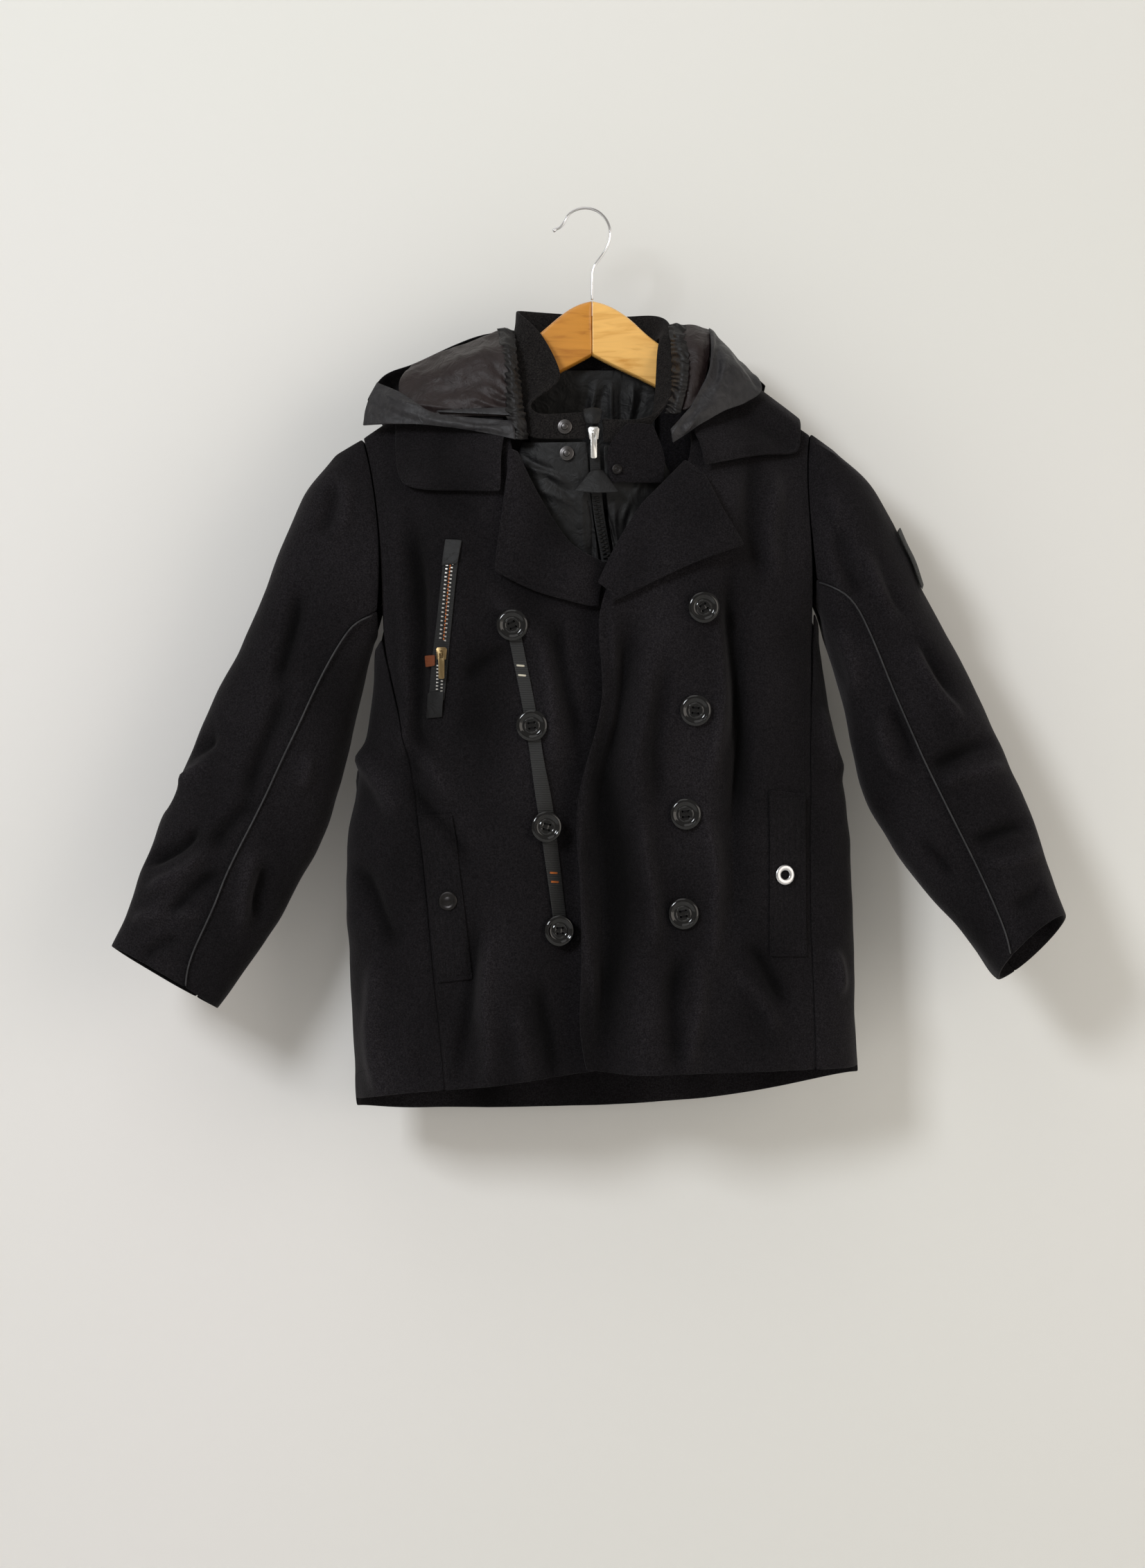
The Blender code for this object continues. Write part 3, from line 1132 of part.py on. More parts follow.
def main():
    for old in list(bpy.data.objects):
        bpy.data.objects.remove(old)
    fronts()
    side_front("side_right", SEAM_RIGHT, OUTLINE_RIGHT, HEM_RIGHT, ARMPITS["right"], -1.0)
    side_front("side_left", SEAM_LEFT, OUTLINE_LEFT, HEM_LEFT, ARMPITS["left"], 1.0)
    back()
    sleeves()
    collars()
    hood()
    bib()
    trims()
    neck_snaps()
    zips()
    hanger()


main()
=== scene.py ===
"""A child's short black wool pea coat with a nylon hood and a zipped bib, on a wooden hanger.

Left and right are the wearer's, so the wearer's left is on the right of the picture. Tables are
in millimetres in the coat's own frame: +X to the wearer's left, -Y to the front, +Z up, from the
inside top of the hanger's hook.
"""

import math

import bmesh
import bpy
import numpy as np
from mathutils import Matrix, Vector, noise
from mathutils.bvhtree import BVHTree


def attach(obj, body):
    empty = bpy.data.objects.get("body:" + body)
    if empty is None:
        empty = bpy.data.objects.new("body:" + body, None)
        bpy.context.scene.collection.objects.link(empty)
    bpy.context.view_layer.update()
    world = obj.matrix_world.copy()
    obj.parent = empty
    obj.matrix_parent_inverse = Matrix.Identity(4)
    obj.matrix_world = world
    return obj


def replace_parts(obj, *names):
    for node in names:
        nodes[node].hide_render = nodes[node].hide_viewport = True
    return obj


MM = 0.001
WELD = 0.00001      # corners nearer than this are one, in metres
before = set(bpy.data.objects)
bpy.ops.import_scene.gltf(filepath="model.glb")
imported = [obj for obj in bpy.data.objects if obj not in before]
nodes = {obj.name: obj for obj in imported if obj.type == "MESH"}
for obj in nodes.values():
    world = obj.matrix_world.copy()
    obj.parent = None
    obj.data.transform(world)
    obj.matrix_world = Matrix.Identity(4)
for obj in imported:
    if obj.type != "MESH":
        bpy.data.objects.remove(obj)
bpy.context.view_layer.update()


# ---- finishes

class Finish:
    """A material made of object-space patterns around one Principled shader."""

    def __init__(self, name, colour, roughness, metallic=0.0):
        self.material = bpy.data.materials.new(name)
        self.material.use_nodes = True
        self.tree = self.material.node_tree
        self.shader = self.tree.nodes["Principled BSDF"]
        self.shader.inputs["Base Color"].default_value = (*colour, 1.0)
        self.shader.inputs["Roughness"].default_value = roughness
        self.shader.inputs["Metallic"].default_value = metallic
        self.place = self.tree.nodes.new("ShaderNodeTexCoord").outputs["Object"]
        self.height = None

    def set(self, **sockets):
        for name, value in sockets.items():
            self.shader.inputs[name.replace("_", " ")].default_value = value
        return self

    def turned(self, scale=(1.0, 1.0, 1.0), rotation=(0.0, 0.0, 0.0)):
        mapping = self.tree.nodes.new("ShaderNodeMapping")
        mapping.inputs["Scale"].default_value = scale
        mapping.inputs["Rotation"].default_value = [math.radians(a) for a in rotation]
        self.tree.links.new(self.place, mapping.inputs["Vector"])
        return mapping.outputs["Vector"]

    def noise(self, size_mm, detail=3.0, twist=0.0, stretch=(1.0, 1.0, 1.0), rotation=(0, 0, 0)):
        """A noise whose blobs are about size_mm across."""
        pattern = self.tree.nodes.new("ShaderNodeTexNoise")
        pattern.inputs["Scale"].default_value = 1000.0 / size_mm
        pattern.inputs["Detail"].default_value = detail
        pattern.inputs["Distortion"].default_value = twist
        self.tree.links.new(self.turned(stretch, rotation), pattern.inputs["Vector"])
        return pattern.outputs["Fac"]

    def bands(self, pitch_mm, rotation=(0, 0, 0), twist=0.0, profile="SIN", twist_size=1.0):
        """Ribs of the given pitch across the X axis, turned by a rotation in degrees."""
        pattern = self.tree.nodes.new("ShaderNodeTexWave")
        pattern.wave_profile = profile
        pattern.inputs["Scale"].default_value = 1000.0 / pitch_mm / (2.0 * math.pi) * 2.0
        pattern.inputs["Distortion"].default_value = twist
        pattern.inputs["Detail Scale"].default_value = twist_size
        self.tree.links.new(self.turned(rotation=rotation), pattern.inputs["Vector"])
        return pattern.outputs["Fac"]

    def between(self, pattern, low, high, start=0.0, end=1.0):
        ramp = self.tree.nodes.new("ShaderNodeMapRange")
        ramp.inputs["From Min"].default_value = start
        ramp.inputs["From Max"].default_value = end
        ramp.inputs["To Min"].default_value = low
        ramp.inputs["To Max"].default_value = high
        self.tree.links.new(pattern, ramp.inputs["Value"])
        return ramp.outputs["Result"]

    def colours(self, pattern, *stops):
        """Colours the surface by a pattern. Each stop is a place and a colour."""
        ramp = self.tree.nodes.new("ShaderNodeValToRGB")
        points = ramp.color_ramp.elements
        while len(points) < len(stops):
            points.new(0.5)
        for point, (place, colour) in zip(points, stops):
            point.position = place
            point.color = (*colour, 1.0)
        self.tree.links.new(pattern, ramp.inputs["Fac"])
        self.tree.links.new(ramp.outputs["Color"], self.shader.inputs["Base Color"])
        return self

    def shaded_by(self, attribute, low, high, span):
        """Paints light and shade into the colour: darkens or lightens it by a value kept at the mesh's
        points, from -span to span.
        """
        source = self.tree.nodes.new("ShaderNodeAttribute")
        source.attribute_name = attribute
        factor = self.between(source.outputs["Fac"], low, high, -span, span)
        scale = self.tree.nodes.new("ShaderNodeVectorMath")
        scale.operation = "SCALE"
        colour = self.shader.inputs["Base Color"]
        self.tree.links.new(colour.links[0].from_socket, scale.inputs[0])
        self.tree.links.new(factor, scale.inputs["Scale"])
        self.tree.links.new(scale.outputs["Vector"], colour)
        return self

    def rough_by(self, pattern, low, high):
        self.tree.links.new(self.between(pattern, low, high), self.shader.inputs["Roughness"])
        return self

    def raised(self, pattern, depth_mm, strength=1.0):
        """Adds relief to the surface. The first one called is the finest."""
        bump = self.tree.nodes.new("ShaderNodeBump")
        bump.inputs["Distance"].default_value = depth_mm * MM
        bump.inputs["Strength"].default_value = strength
        self.tree.links.new(pattern, bump.inputs["Height"])
        if self.height:
            self.tree.links.new(self.height, bump.inputs["Normal"])
        self.height = bump.outputs["Normal"]
        self.tree.links.new(self.height, self.shader.inputs["Normal"])
        return self


def wool_finish(name="melton_wool", dark=(0.0035, 0.0031, 0.0037), light=(0.0135, 0.0122, 0.0138)):
    wool = Finish(name, dark, 0.95)
    wool.set(Sheen_Weight=0.09, Sheen_Roughness=0.4, Sheen_Tint=(0.8, 0.76, 0.8, 1.0))
    wool.set(Specular_IOR_Level=0.1)
    wool.colours(wool.noise(1.1, 4.0, 0.6), (0.38, dark), (0.72, light))
    # Painted shade and highlight: the colour is darkened in the fold troughs and lightened on the ridges, by
    # the fold height kept at the points, plus a slow random patchiness.
    wool.shaded_by("painted_fold_shade", 0.25, 2.0, 8.0)
    wool.raised(wool.noise(0.8, 3.0, 0.8), 0.28, 0.8)
    wool.raised(wool.noise(4.5, 4.0, 1.2), 0.5, 0.55)
    wool.raised(wool.noise(24.0, 3.0, 0.6), 1.1, 0.45)
    return wool.material


def nylon_finish(name, colour, light, crumple=1.0, roughness=0.42):
    nylon = Finish(name, colour, roughness)
    nylon.set(Sheen_Weight=0.02, Sheen_Roughness=0.3, Specular_IOR_Level=0.3)
    nylon.colours(nylon.noise(9.0, 3.0, 1.5), (0.3, colour), (0.8, light))
    nylon.raised(nylon.bands(0.6), 0.05, 0.5)
    nylon.raised(nylon.bands(0.6, (0, 90, 0)), 0.05, 0.5)
    nylon.raised(nylon.noise(14.0, 4.0, 2.2), 1.6 * crumple, 0.7)
    nylon.rough_by(nylon.noise(6.0), roughness - 0.07, roughness + 0.12)
    return nylon.material


def tape_finish(name, dark, light, pitch=1.4, rotation=(0, 90, 0)):
    tape = Finish(name, dark, 0.7)
    ribs = tape.bands(pitch, rotation)
    tape.colours(ribs, (0.2, dark), (0.9, light))
    tape.raised(tape.noise(0.7), 0.1, 0.5)
    tape.raised(ribs, 0.35, 0.8)
    return tape.material


def wood_finish(name, pale, deep, turn):
    wood = Finish(name, pale, 0.3)
    wood.set(Coat_Weight=0.25, Coat_Roughness=0.15)
    grain = wood.noise(7.0, 8.0, 1.4, (0.12, 1.0, 1.0), (0, turn, 0))
    wood.colours(grain, (0.25, deep), (0.5, pale), (0.8, tuple(c * 1.12 for c in pale)))
    wood.raised(wood.noise(1.6, 4.0, 0.4, (0.05, 1.0, 1.0), (0, turn, 0)), 0.06, 0.5)
    wood.rough_by(grain, 0.26, 0.4)
    return wood.material


def metal_finish(name, colour, roughness, wear=0.5):
    metal = Finish(name, colour, roughness, 1.0)
    metal.raised(metal.noise(0.9, 3.0), 0.03, wear)
    metal.rough_by(metal.noise(3.0, 4.0), roughness * 0.7, roughness * 1.5)
    return metal.material


def plastic_finish(name, colour, roughness):
    plastic = Finish(name, colour, roughness)
    plastic.rough_by(plastic.noise(2.5, 3.0), roughness * 0.8, roughness * 1.6)
    plastic.raised(plastic.noise(5.0, 2.0), 0.06, 0.4)
    return plastic.material


WOOL = wool_finish()
COLLAR_WOOL = wool_finish("stand_collar_wool", (0.0045, 0.004, 0.0042), (0.02, 0.0182, 0.0175))
HOOD_SHELL = nylon_finish("hood_shell_nylon", (0.0135, 0.013, 0.015), (0.03, 0.0285, 0.031))
HOOD_LINING = nylon_finish("hood_lining_nylon", (0.0125, 0.0072, 0.0072), (0.021, 0.013, 0.0132))
GATHERED_EDGE = nylon_finish("gathered_nylon", (0.0045, 0.004, 0.0042), (0.012, 0.0105, 0.011))
BIB_NYLON = nylon_finish("bib_nylon", (0.0022, 0.0022, 0.0026), (0.0065, 0.0062, 0.007), 0.8, 0.5)
PIPING = nylon_finish("piping_nylon", (0.02, 0.02, 0.022), (0.045, 0.045, 0.048), 0.2)
RIBBED_TAPE = tape_finish("ribbed_tape", (0.004, 0.004, 0.0045), (0.02, 0.0205, 0.021))
ZIP_TAPE = tape_finish("zip_tape", (0.003, 0.003, 0.0035), (0.011, 0.011, 0.012), 0.8)
ORANGE_TAPE = tape_finish("orange_tape", (0.4, 0.09, 0.012), (0.66, 0.19, 0.03), 0.7)
TAG_TAPE = tape_finish("rust_tag", (0.13, 0.03, 0.008), (0.24, 0.06, 0.014), 0.7)
BEECH_RIGHT = wood_finish("hanger_wood_amber", (0.6, 0.25, 0.03), (0.36, 0.115, 0.01), -34)
BEECH_LEFT = wood_finish("hanger_wood_honey", (0.88, 0.5, 0.14), (0.66, 0.31, 0.055), 34)
CHROME = metal_finish("hook_chrome", (0.78, 0.78, 0.8), 0.12)
RING_STEEL = metal_finish("eyelet_steel", (0.6, 0.6, 0.62), 0.25)
ZIP_BRASS = metal_finish("zip_brass", (0.24, 0.17, 0.085), 0.32)
ZIP_SILVER = metal_finish("zip_silver", (0.72, 0.71, 0.69), 0.3)
GUNMETAL = metal_finish("snap_gunmetal", (0.09, 0.085, 0.085), 0.3)
SNAP_BLACK = metal_finish("snap_black", (0.03, 0.028, 0.028), 0.3)
BUTTON_BLACK = plastic_finish("button_black", (0.002, 0.002, 0.0025), 0.07)
THREAD = Finish("black_thread", (0.006, 0.0056, 0.0062), 0.8).set(Specular_IOR_Level=0.15).material


# ---- making pieces

def link_new(name, data):
    piece = bpy.data.objects.new(name, data)
    bpy.context.scene.collection.objects.link(piece)
    return piece


def choose(piece):
    """Makes one object the only selected and active one."""
    for other in bpy.context.selected_objects:
        other.select_set(False)
    piece.select_set(True)
    bpy.context.view_layer.objects.active = piece


def apply_all(piece):
    choose(piece)
    for change in list(piece.modifiers):
        bpy.ops.object.modifier_apply(modifier=change.name)


def subdivide(piece, levels):
    change = piece.modifiers.new("smooth", "SUBSURF")
    change.levels = levels
    change.render_levels = levels
    apply_all(piece)


def finish_with(piece, material, body="coat"):
    piece.data.materials.clear()
    piece.data.materials.append(material)
    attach(piece, body)
    return piece


def welded_copy(node):
    """A copy of a CAD node's mesh with its corners joined, left in edit mode with all selected."""
    piece = link_new(node + "_piece", nodes[node].data.copy())
    choose(piece)
    bpy.ops.mesh.customdata_custom_splitnormals_clear()
    bpy.ops.object.mode_set(mode="EDIT")
    bpy.ops.mesh.select_all(action="SELECT")
    bpy.ops.mesh.remove_doubles(threshold=WELD)
    return piece


def fine_copy(node, levels=2, rim_mm=0.8, sharp=50.0):
    """A copy of a CAD node's mesh with its rims rounded, subdivided. The node is left alone."""
    piece = welded_copy(node)
    bpy.ops.mesh.tris_convert_to_quads(face_threshold=math.pi, shape_threshold=math.pi)
    bpy.ops.mesh.select_all(action="DESELECT")
    bpy.ops.mesh.select_mode(type="EDGE")
    bpy.ops.mesh.edges_select_sharp(sharpness=math.radians(sharp))
    if rim_mm:
        bpy.ops.mesh.bevel(offset=rim_mm * MM, segments=1, clamp_overlap=True)
    bpy.ops.object.mode_set(mode="OBJECT")
    if levels:
        subdivide(piece, levels)
    choose(piece)
    bpy.ops.object.shade_smooth()
    return piece


def points_of(piece):
    flat = np.empty(len(piece.data.vertices) * 3)
    piece.data.vertices.foreach_get("co", flat)
    return flat.reshape(-1, 3) / MM


def normals_of(piece):
    return np.array([vertex.normal for vertex in piece.data.vertices])


def move_points(piece, points):
    piece.data.vertices.foreach_set("co", (points * MM).ravel())
    piece.data.update()


def bump(value):
    return np.exp(-value * value)


def ramp(value):
    value = np.clip(value, 0.0, 1.0)
    return value * value * (3.0 - 2.0 * value)


def crease_height(table, first, second):
    """The sum of creases at places. A row runs between two places and has a half width and a height."""
    total = np.zeros(len(first))
    for a1, b1, a2, b2, width, height in table:
        along_a, along_b = a2 - a1, b2 - b1
        length = math.hypot(along_a, along_b)
        share = ((first - a1) * along_a + (second - b1) * along_b) / length ** 2
        off = ((first - a1) * along_b - (second - b1) * along_a) / length
        wave = 0.12 * length * np.sin(share * 5.0 + a1) * 0.25
        taper = ramp((share + 0.12) / 0.35) * ramp((1.12 - share) / 0.35)
        total += height * taper * bump((off + wave) / width)
    return total


def near_line(points, route):
    """How far each point is from a route of x, z points, seen from the front."""
    flat = points[:, [0, 2]]
    best = np.full(len(flat), 1000.0)
    route = np.array([tuple(point)[:2] for point in route], float)
    for start, end in zip(route, route[1:]):
        run = np.linalg.norm(end - start)
        along = (end - start) / run
        share = np.clip((flat - start) @ along, 0.0, run)
        best = np.minimum(best, np.linalg.norm(flat - start - share[:, None] * along, axis=1))
    return best


def groove(piece, route, width, depth, side=-1):
    """Presses a soft groove into the outer face along a route. A negative depth is a ridge."""
    points = points_of(piece)
    outer = ramp(normals_of(piece)[:, 1] * side / 0.5)
    points[:, 1] -= side * depth * bump(near_line(points, route) / width) * outer
    move_points(piece, points)


def soft_noise(points, size, height, seed=0.0):
    """A slow unevenness that no real cloth is without."""
    return np.array([
        height * noise.noise(Vector((p[0] / size + seed, p[1] / size, p[2] / size))) for p in points
    ])


def piece_tree(*pieces):
    """What a ray meets first on some finished pieces."""
    corners, faces = [], []
    for piece in pieces:
        start = len(corners)
        corners += [vertex.co.copy() for vertex in piece.data.vertices]
        faces += [[start + index for index in face.vertices] for face in piece.data.polygons]
    return BVHTree.FromPolygons(corners, faces)


def drop(tree, x, z, side=-1):
    """The point and normal that a ray along Y meets first, from the front (-1) or the back (1)."""
    hit, normal, _, _ = tree.ray_cast(Vector((x * MM, side * 0.4, z * MM)), Vector((0, -side, 0)))
    if hit is None:
        return None
    if normal.y * side < 0:
        normal = -normal
    return hit / MM, normal


def dropped_line(tree, route, side=-1, step=1.0):
    """A route of x, z points laid on the cloth: a list of points and normals, evenly spaced."""
    found = []
    for (x1, z1), (x2, z2) in zip(route, route[1:]):
        count = max(2, int(math.hypot(x2 - x1, z2 - z1) / step))
        for index in range(count):
            share = index / count
            met = drop(tree, x1 + (x2 - x1) * share, z1 + (z2 - z1) * share, side)
            if met:
                found.append(met)
    return found


def rounded_route(points, count=60):
    """A smooth curve through given points."""
    points = [Vector(point) for point in points]
    padded = [points[0] * 2 - points[1]] + points + [points[-1] * 2 - points[-2]]
    route = []
    spans = len(points) - 1
    for index in range(count + 1):
        place = index / count * spans
        low = min(int(place), spans - 1)
        t = place - low
        a, b, c, d = padded[low:low + 4]
        route.append(0.5 * (
            2 * b + (c - a) * t + (2 * a - 5 * b + 4 * c - d) * t ** 2
            + (3 * b - a - 3 * c + d) * t ** 3
        ))
    return route


THREAD_RINGS = (
    # place along, radius share, height share
    (0.0, 0.5, -0.9), (0.22, 1.0, 0.25), (0.78, 1.0, 0.25), (1.0, 0.5, -0.9),
)


def add_thread(shape, start, end, normal, radius, sides=5):
    """One stitch: a short bulging thread that dives into the cloth at both ends."""
    along = (end - start)
    across = along.cross(normal).normalized()
    rings = []
    for place, wide, high in THREAD_RINGS:
        centre = start + along * place + normal * (radius * high)
        ring = []
        for index in range(sides):
            turn = 2.0 * math.pi * index / sides
            way = across * math.cos(turn) + normal * math.sin(turn)
            ring.append(shape.verts.new((centre + way * radius * wide) * MM))
        rings.append(ring)
    for low, high in zip(rings, rings[1:]):
        for index in range(sides):
            after = (index + 1) % sides
            shape.faces.new((low[index], low[after], high[after], high[index]))
    shape.faces.new(reversed(rings[0]))
    shape.faces.new(rings[-1])


def new_piece(name, shape, material, body="coat", smooth=True):
    bmesh.ops.recalc_face_normals(shape, faces=shape.faces)
    mesh = bpy.data.meshes.new(name)
    shape.to_mesh(mesh)
    shape.free()
    piece = link_new(name, mesh)
    if smooth:
        mesh.shade_smooth()
    return finish_with(piece, material, body)


def sew(name, rows, material=None, pitch=3.1, length=2.3, radius=0.27):
    """Rows of stitches. Each row is a list of points and normals on the cloth."""
    shape = bmesh.new()
    for row in rows:
        travelled, start = 0.0, None
        for (before, _), (point, normal) in zip(row, row[1:]):
            step = (point - before).length
            if step > 6.0:
                travelled, start = 0.0, None
                continue
            travelled += step
            if start is None and travelled >= pitch - length:
                start, travelled = point, 0.0
            elif start is not None and travelled >= length:
                add_thread(shape, start, point, normal, radius)
                start, travelled = None, 0.0
    return new_piece(name, shape, material or THREAD)


# ---- the wool and nylon pieces

SLOT_OF = {
    WOOL: "black_wool", COLLAR_WOOL: "stand_wool", BIB_NYLON: "bib_nylon", ZIP_TAPE: "black_tape",
    RIBBED_TAPE: "black_tape", HOOD_SHELL: "hood_shell", HOOD_LINING: "hood_lining", TAG_TAPE: "orange_tape",
}
# node: subdivision levels, material, width, length and area of its flat cut in metres, how it is held
CLOTH = {
    "back": (2, WOOL, 0.43, 0.63, 0.2306, "hung"),
    "front_left": (3, WOOL, 0.195, 0.60, 0.0963, "hung"),
    "front_right": (3, WOOL, 0.27, 0.60, 0.106, "hung"),
    "side_left": (3, WOOL, 0.055, 0.37, 0.0173, "hung"),
    "side_right": (3, WOOL, 0.095, 0.37, 0.0268, "hung"),
    "sleeve_top_left": (3, WOOL, 0.23, 0.45, 0.0757, "hung"),
    "sleeve_under_left": (2, WOOL, 0.12, 0.40, 0.0346, "hung"),
    "sleeve_top_right": (3, WOOL, 0.24, 0.46, 0.0849, "hung"),
    "sleeve_under_right": (2, WOOL, 0.12, 0.40, 0.0341, "hung"),
    "fall_collar": (2, WOOL, 0.56, 0.11, 0.0479, "folded"),
    "lapel_left": (3, WOOL, 0.10, 0.12, 0.0069, "folded"),
    "lapel_right": (3, WOOL, 0.09, 0.12, 0.0059, "folded"),
    "stand_collar": (2, COLLAR_WOOL, 0.46, 0.035, 0.0113, "folded"),
    "chin_tab": (2, WOOL, 0.046, 0.05, 0.002, "folded"),
    "bib_left": (3, BIB_NYLON, 0.075, 0.16, 0.0094, "hung"),
    "bib_right": (3, BIB_NYLON, 0.075, 0.16, 0.0102, "hung"),
    "bib_zip": (2, ZIP_TAPE, 0.0105, 0.155, 0.0016, "hung"),
    "neck_lining": (3, BIB_NYLON, 0.105, 0.115, 0.0113, "hung"),
    "hood_back": (2, HOOD_SHELL, 0.33, 0.25, 0.0596, "draped"),
    "hood_wing_left": (0, HOOD_SHELL, 0.06, 0.10, 0.0035, "folded"),
    "hood_wing_right": (0, HOOD_SHELL, 0.11, 0.04, 0.0022, "folded"),
    "hood_brim_right": (2, HOOD_SHELL, 0.06, 0.012, 0.0004, "folded"),
    "hood_lining_left": (0, HOOD_LINING, 0.029, 0.082, 0.002, "draped"),
    "hood_lining_right": (0, HOOD_LINING, 0.10, 0.08, 0.006, "draped"),
    "pocket_welt_left": (3, WOOL, 0.034, 0.135, 0.0043, "laid"),
    "pocket_welt_right": (3, WOOL, 0.031, 0.132, 0.0039, "laid"),
    "button_tape": (2, RIBBED_TAPE, 0.0115, 0.25, 0.0028, "laid"),
    "chest_zip": (2, ZIP_TAPE, 0.014, 0.12, 0.0016, "laid"),
    "sleeve_patch": (2, ZIP_TAPE, 0.04, 0.05, 0.0019, "laid"),
    "zip_flap": (2, BIB_NYLON, 0.03, 0.022, 0.0005, "folded"),
    "zip_loop": (2, BIB_NYLON, 0.014, 0.016, 0.0002, "folded"),
    "zip_tab_top": (2, BIB_NYLON, 0.015, 0.022, 0.0003, "laid"),
    "zip_tab_low": (2, BIB_NYLON, 0.015, 0.022, 0.0003, "laid"),
    "zip_tag": (1, TAG_TAPE, 0.01, 0.011, 0.0001, "laid"),
}
THIN = ("zip_tag", "zip_tab_top", "zip_tab_low", "button_tape", "chest_zip", "zip_loop")


# Hood parts as sheets through given rails of x, y, z: across steps, down steps, thickness.
HOOD_RAILS = {
    "hood_lining_right": (56, 56, 1.4, (
        ((-138, -1, -124.5), (-114, -1, -113.5), (-90, 1, -105), (-63.5, 1, -94)),
        ((-146, -14, -137), (-118, -22, -132), (-90, -28, -125), (-60, -30, -117)),
        ((-146, -21, -149), (-120, -33, -153), (-88, -41, -151), (-57, -42, -149)),
        ((-141, -26, -157), (-119, -35, -168), (-86, -42, -169), (-55, -47.5, -170)),
    )),
    "hood_wing_right": (80, 26, 1.3, (
        ((-164, -12, -139), (-143, -29, -150), (-120, -41, -166), (-90, -47, -171), (-56, -52.5, -174)),
        ((-172, -14, -156), (-148, -32, -161), (-120, -45, -172), (-90, -51, -176.5), (-55, -56.5, -180)),
        ((-175, -16, -173), (-150, -32, -174), (-120, -43, -176), (-88, -50, -181), (-54, -57, -189)),
    )),
    "hood_lining_left": (26, 50, 1.3, (
        ((71, -2, -94), (84, -3, -92.5), (98, 2, -95)),
        ((72, -17, -107), (85, -22, -108), (98.5, -19, -110)),
        ((73, -30, -134), (84, -34, -134), (94, -31, -137)),
        ((73, -43, -165), (79, -46, -164), (84, -45, -160)),
    )),
    "hood_wing_left": (70, 40, 1.4, (
        (
            (98, -3, -95), (98.5, -24, -112), (97, -34, -130), (91, -42, -146), (81, -49, -164),
            (66, -55.5, -181),
        ),
        (
            (112, -7, -110), (118, -27, -126), (112, -38, -143), (100, -46, -157), (86, -52, -172),
            (67, -57, -186),
        ),
        (
            (124, -2, -122), (139, -18, -144), (126, -32, -157), (108, -42, -165), (88, -50, -177),
            (68, -55, -191),
        ),
    )),
}
GATHERS = {
    # the gathered edges between the hood and the stand collar: material, slot, rails from the top down
    "hood_gather_right": (GATHERED_EDGE, "hood_shell", (
        ((-69, -3, -96), (-63, -8, -95), (-56, -5, -97)),
        ((-66, -27, -118), (-60, -33, -118), (-54, -27, -118)),
        ((-64, -36, -137), (-57.5, -41, -136), (-52, -34, -136)),
        ((-62, -43.5, -153), (-56, -47.5, -152), (-50, -41, -152)),
        ((-61, -51, -170), (-53.5, -54.5, -170), (-47, -50, -170)),
        ((-57, -56, -188), (-50, -57, -189), (-44, -51, -188)),
    )),
    "hood_gather_left": (GATHERED_EDGE, "hood_lining", (
        ((66, -3, -92), (72, -8, -92), (79, -5, -93)),
        ((68, -20, -112), (74, -26, -112), (81, -23, -112)),
        ((68, -28, -130), (75, -36, -130), (81, -35, -130)),
        ((67.5, -38, -148), (73.5, -44, -148), (79, -42, -147)),
        ((62, -44, -167), (68, -48, -168), (74, -47, -168)),
    )),
}
HOOD_FOLDS = {
    "hood_lining_right": (
        (-57, -165, -88, -156, 2.2, 2.0), (-57, -160, -86, -149, 2.0, -1.5),
        (-57, -157, -77, -146, 1.8, 1.6), (-58, -151, -68, -137, 1.8, 1.5),
        (-60, -145, -72, -128, 2.5, -1.3), (-138, -160, -106, -161, 2.4, 1.7),
        (-124, -152, -78, -138, 7, -2.2), (-112, -132, -74, -116, 8, 2.6),
        (-104, -111, -97, -124, 2.5, 1.4), (-82, -104, -78, -117, 2.5, 1.4),
    ),
    "hood_wing_right": (
        (-160, -147, -121, -168, 2.4, 1.6), (-168, -158, -128, -173, 3.2, -1.8),
        (-104, -171, -66, -178, 1.8, -1.4), (-96, -176, -60, -184, 1.8, 1.2),
        (-168, -164, -160, -174, 2.0, -1.0),
    ),
    "hood_lining_left": ((88, -108, 88, -150, 5, 1.6),),
    "hood_wing_left": (
        (99.5, -97, 100, -120, 2.2, 2.2), (99.5, -118, 95, -142, 2.2, 2.2), (96, -139, 82, -165, 2.0, 2.0),
        (84, -162, 68, -183, 1.8, 1.6), (105, -106, 101, -146, 2.6, -1.8),
        (118, -118, 138, -145, 2.0, -2.6), (124, -121, 140, -140, 3.0, 2.0),
        (112, -120, 100, -154, 3.0, 1.8), (92, -166, 74, -184, 1.6, 1.4),
    ),
}


def spline(values, count):
    """Points along a smooth curve through an array's rows."""
    values = np.asarray(values, float)
    padded = np.concatenate([values[:1] * 2 - values[1:2], values, values[-1:] * 2 - values[-2:-1]])
    place = np.linspace(0.0, len(values) - 1.0, count + 1)
    low = np.minimum(place.astype(int), len(values) - 2)
    t = (place - low).reshape((-1,) + (1,) * (values.ndim - 1))
    a, b, c, d = (padded[low + step] for step in range(4))
    return 0.5 * (
        2 * b + (c - a) * t + (2 * a - 5 * b + 4 * c - d) * t ** 2 + (3 * b - a - 3 * c + d) * t ** 3
    )


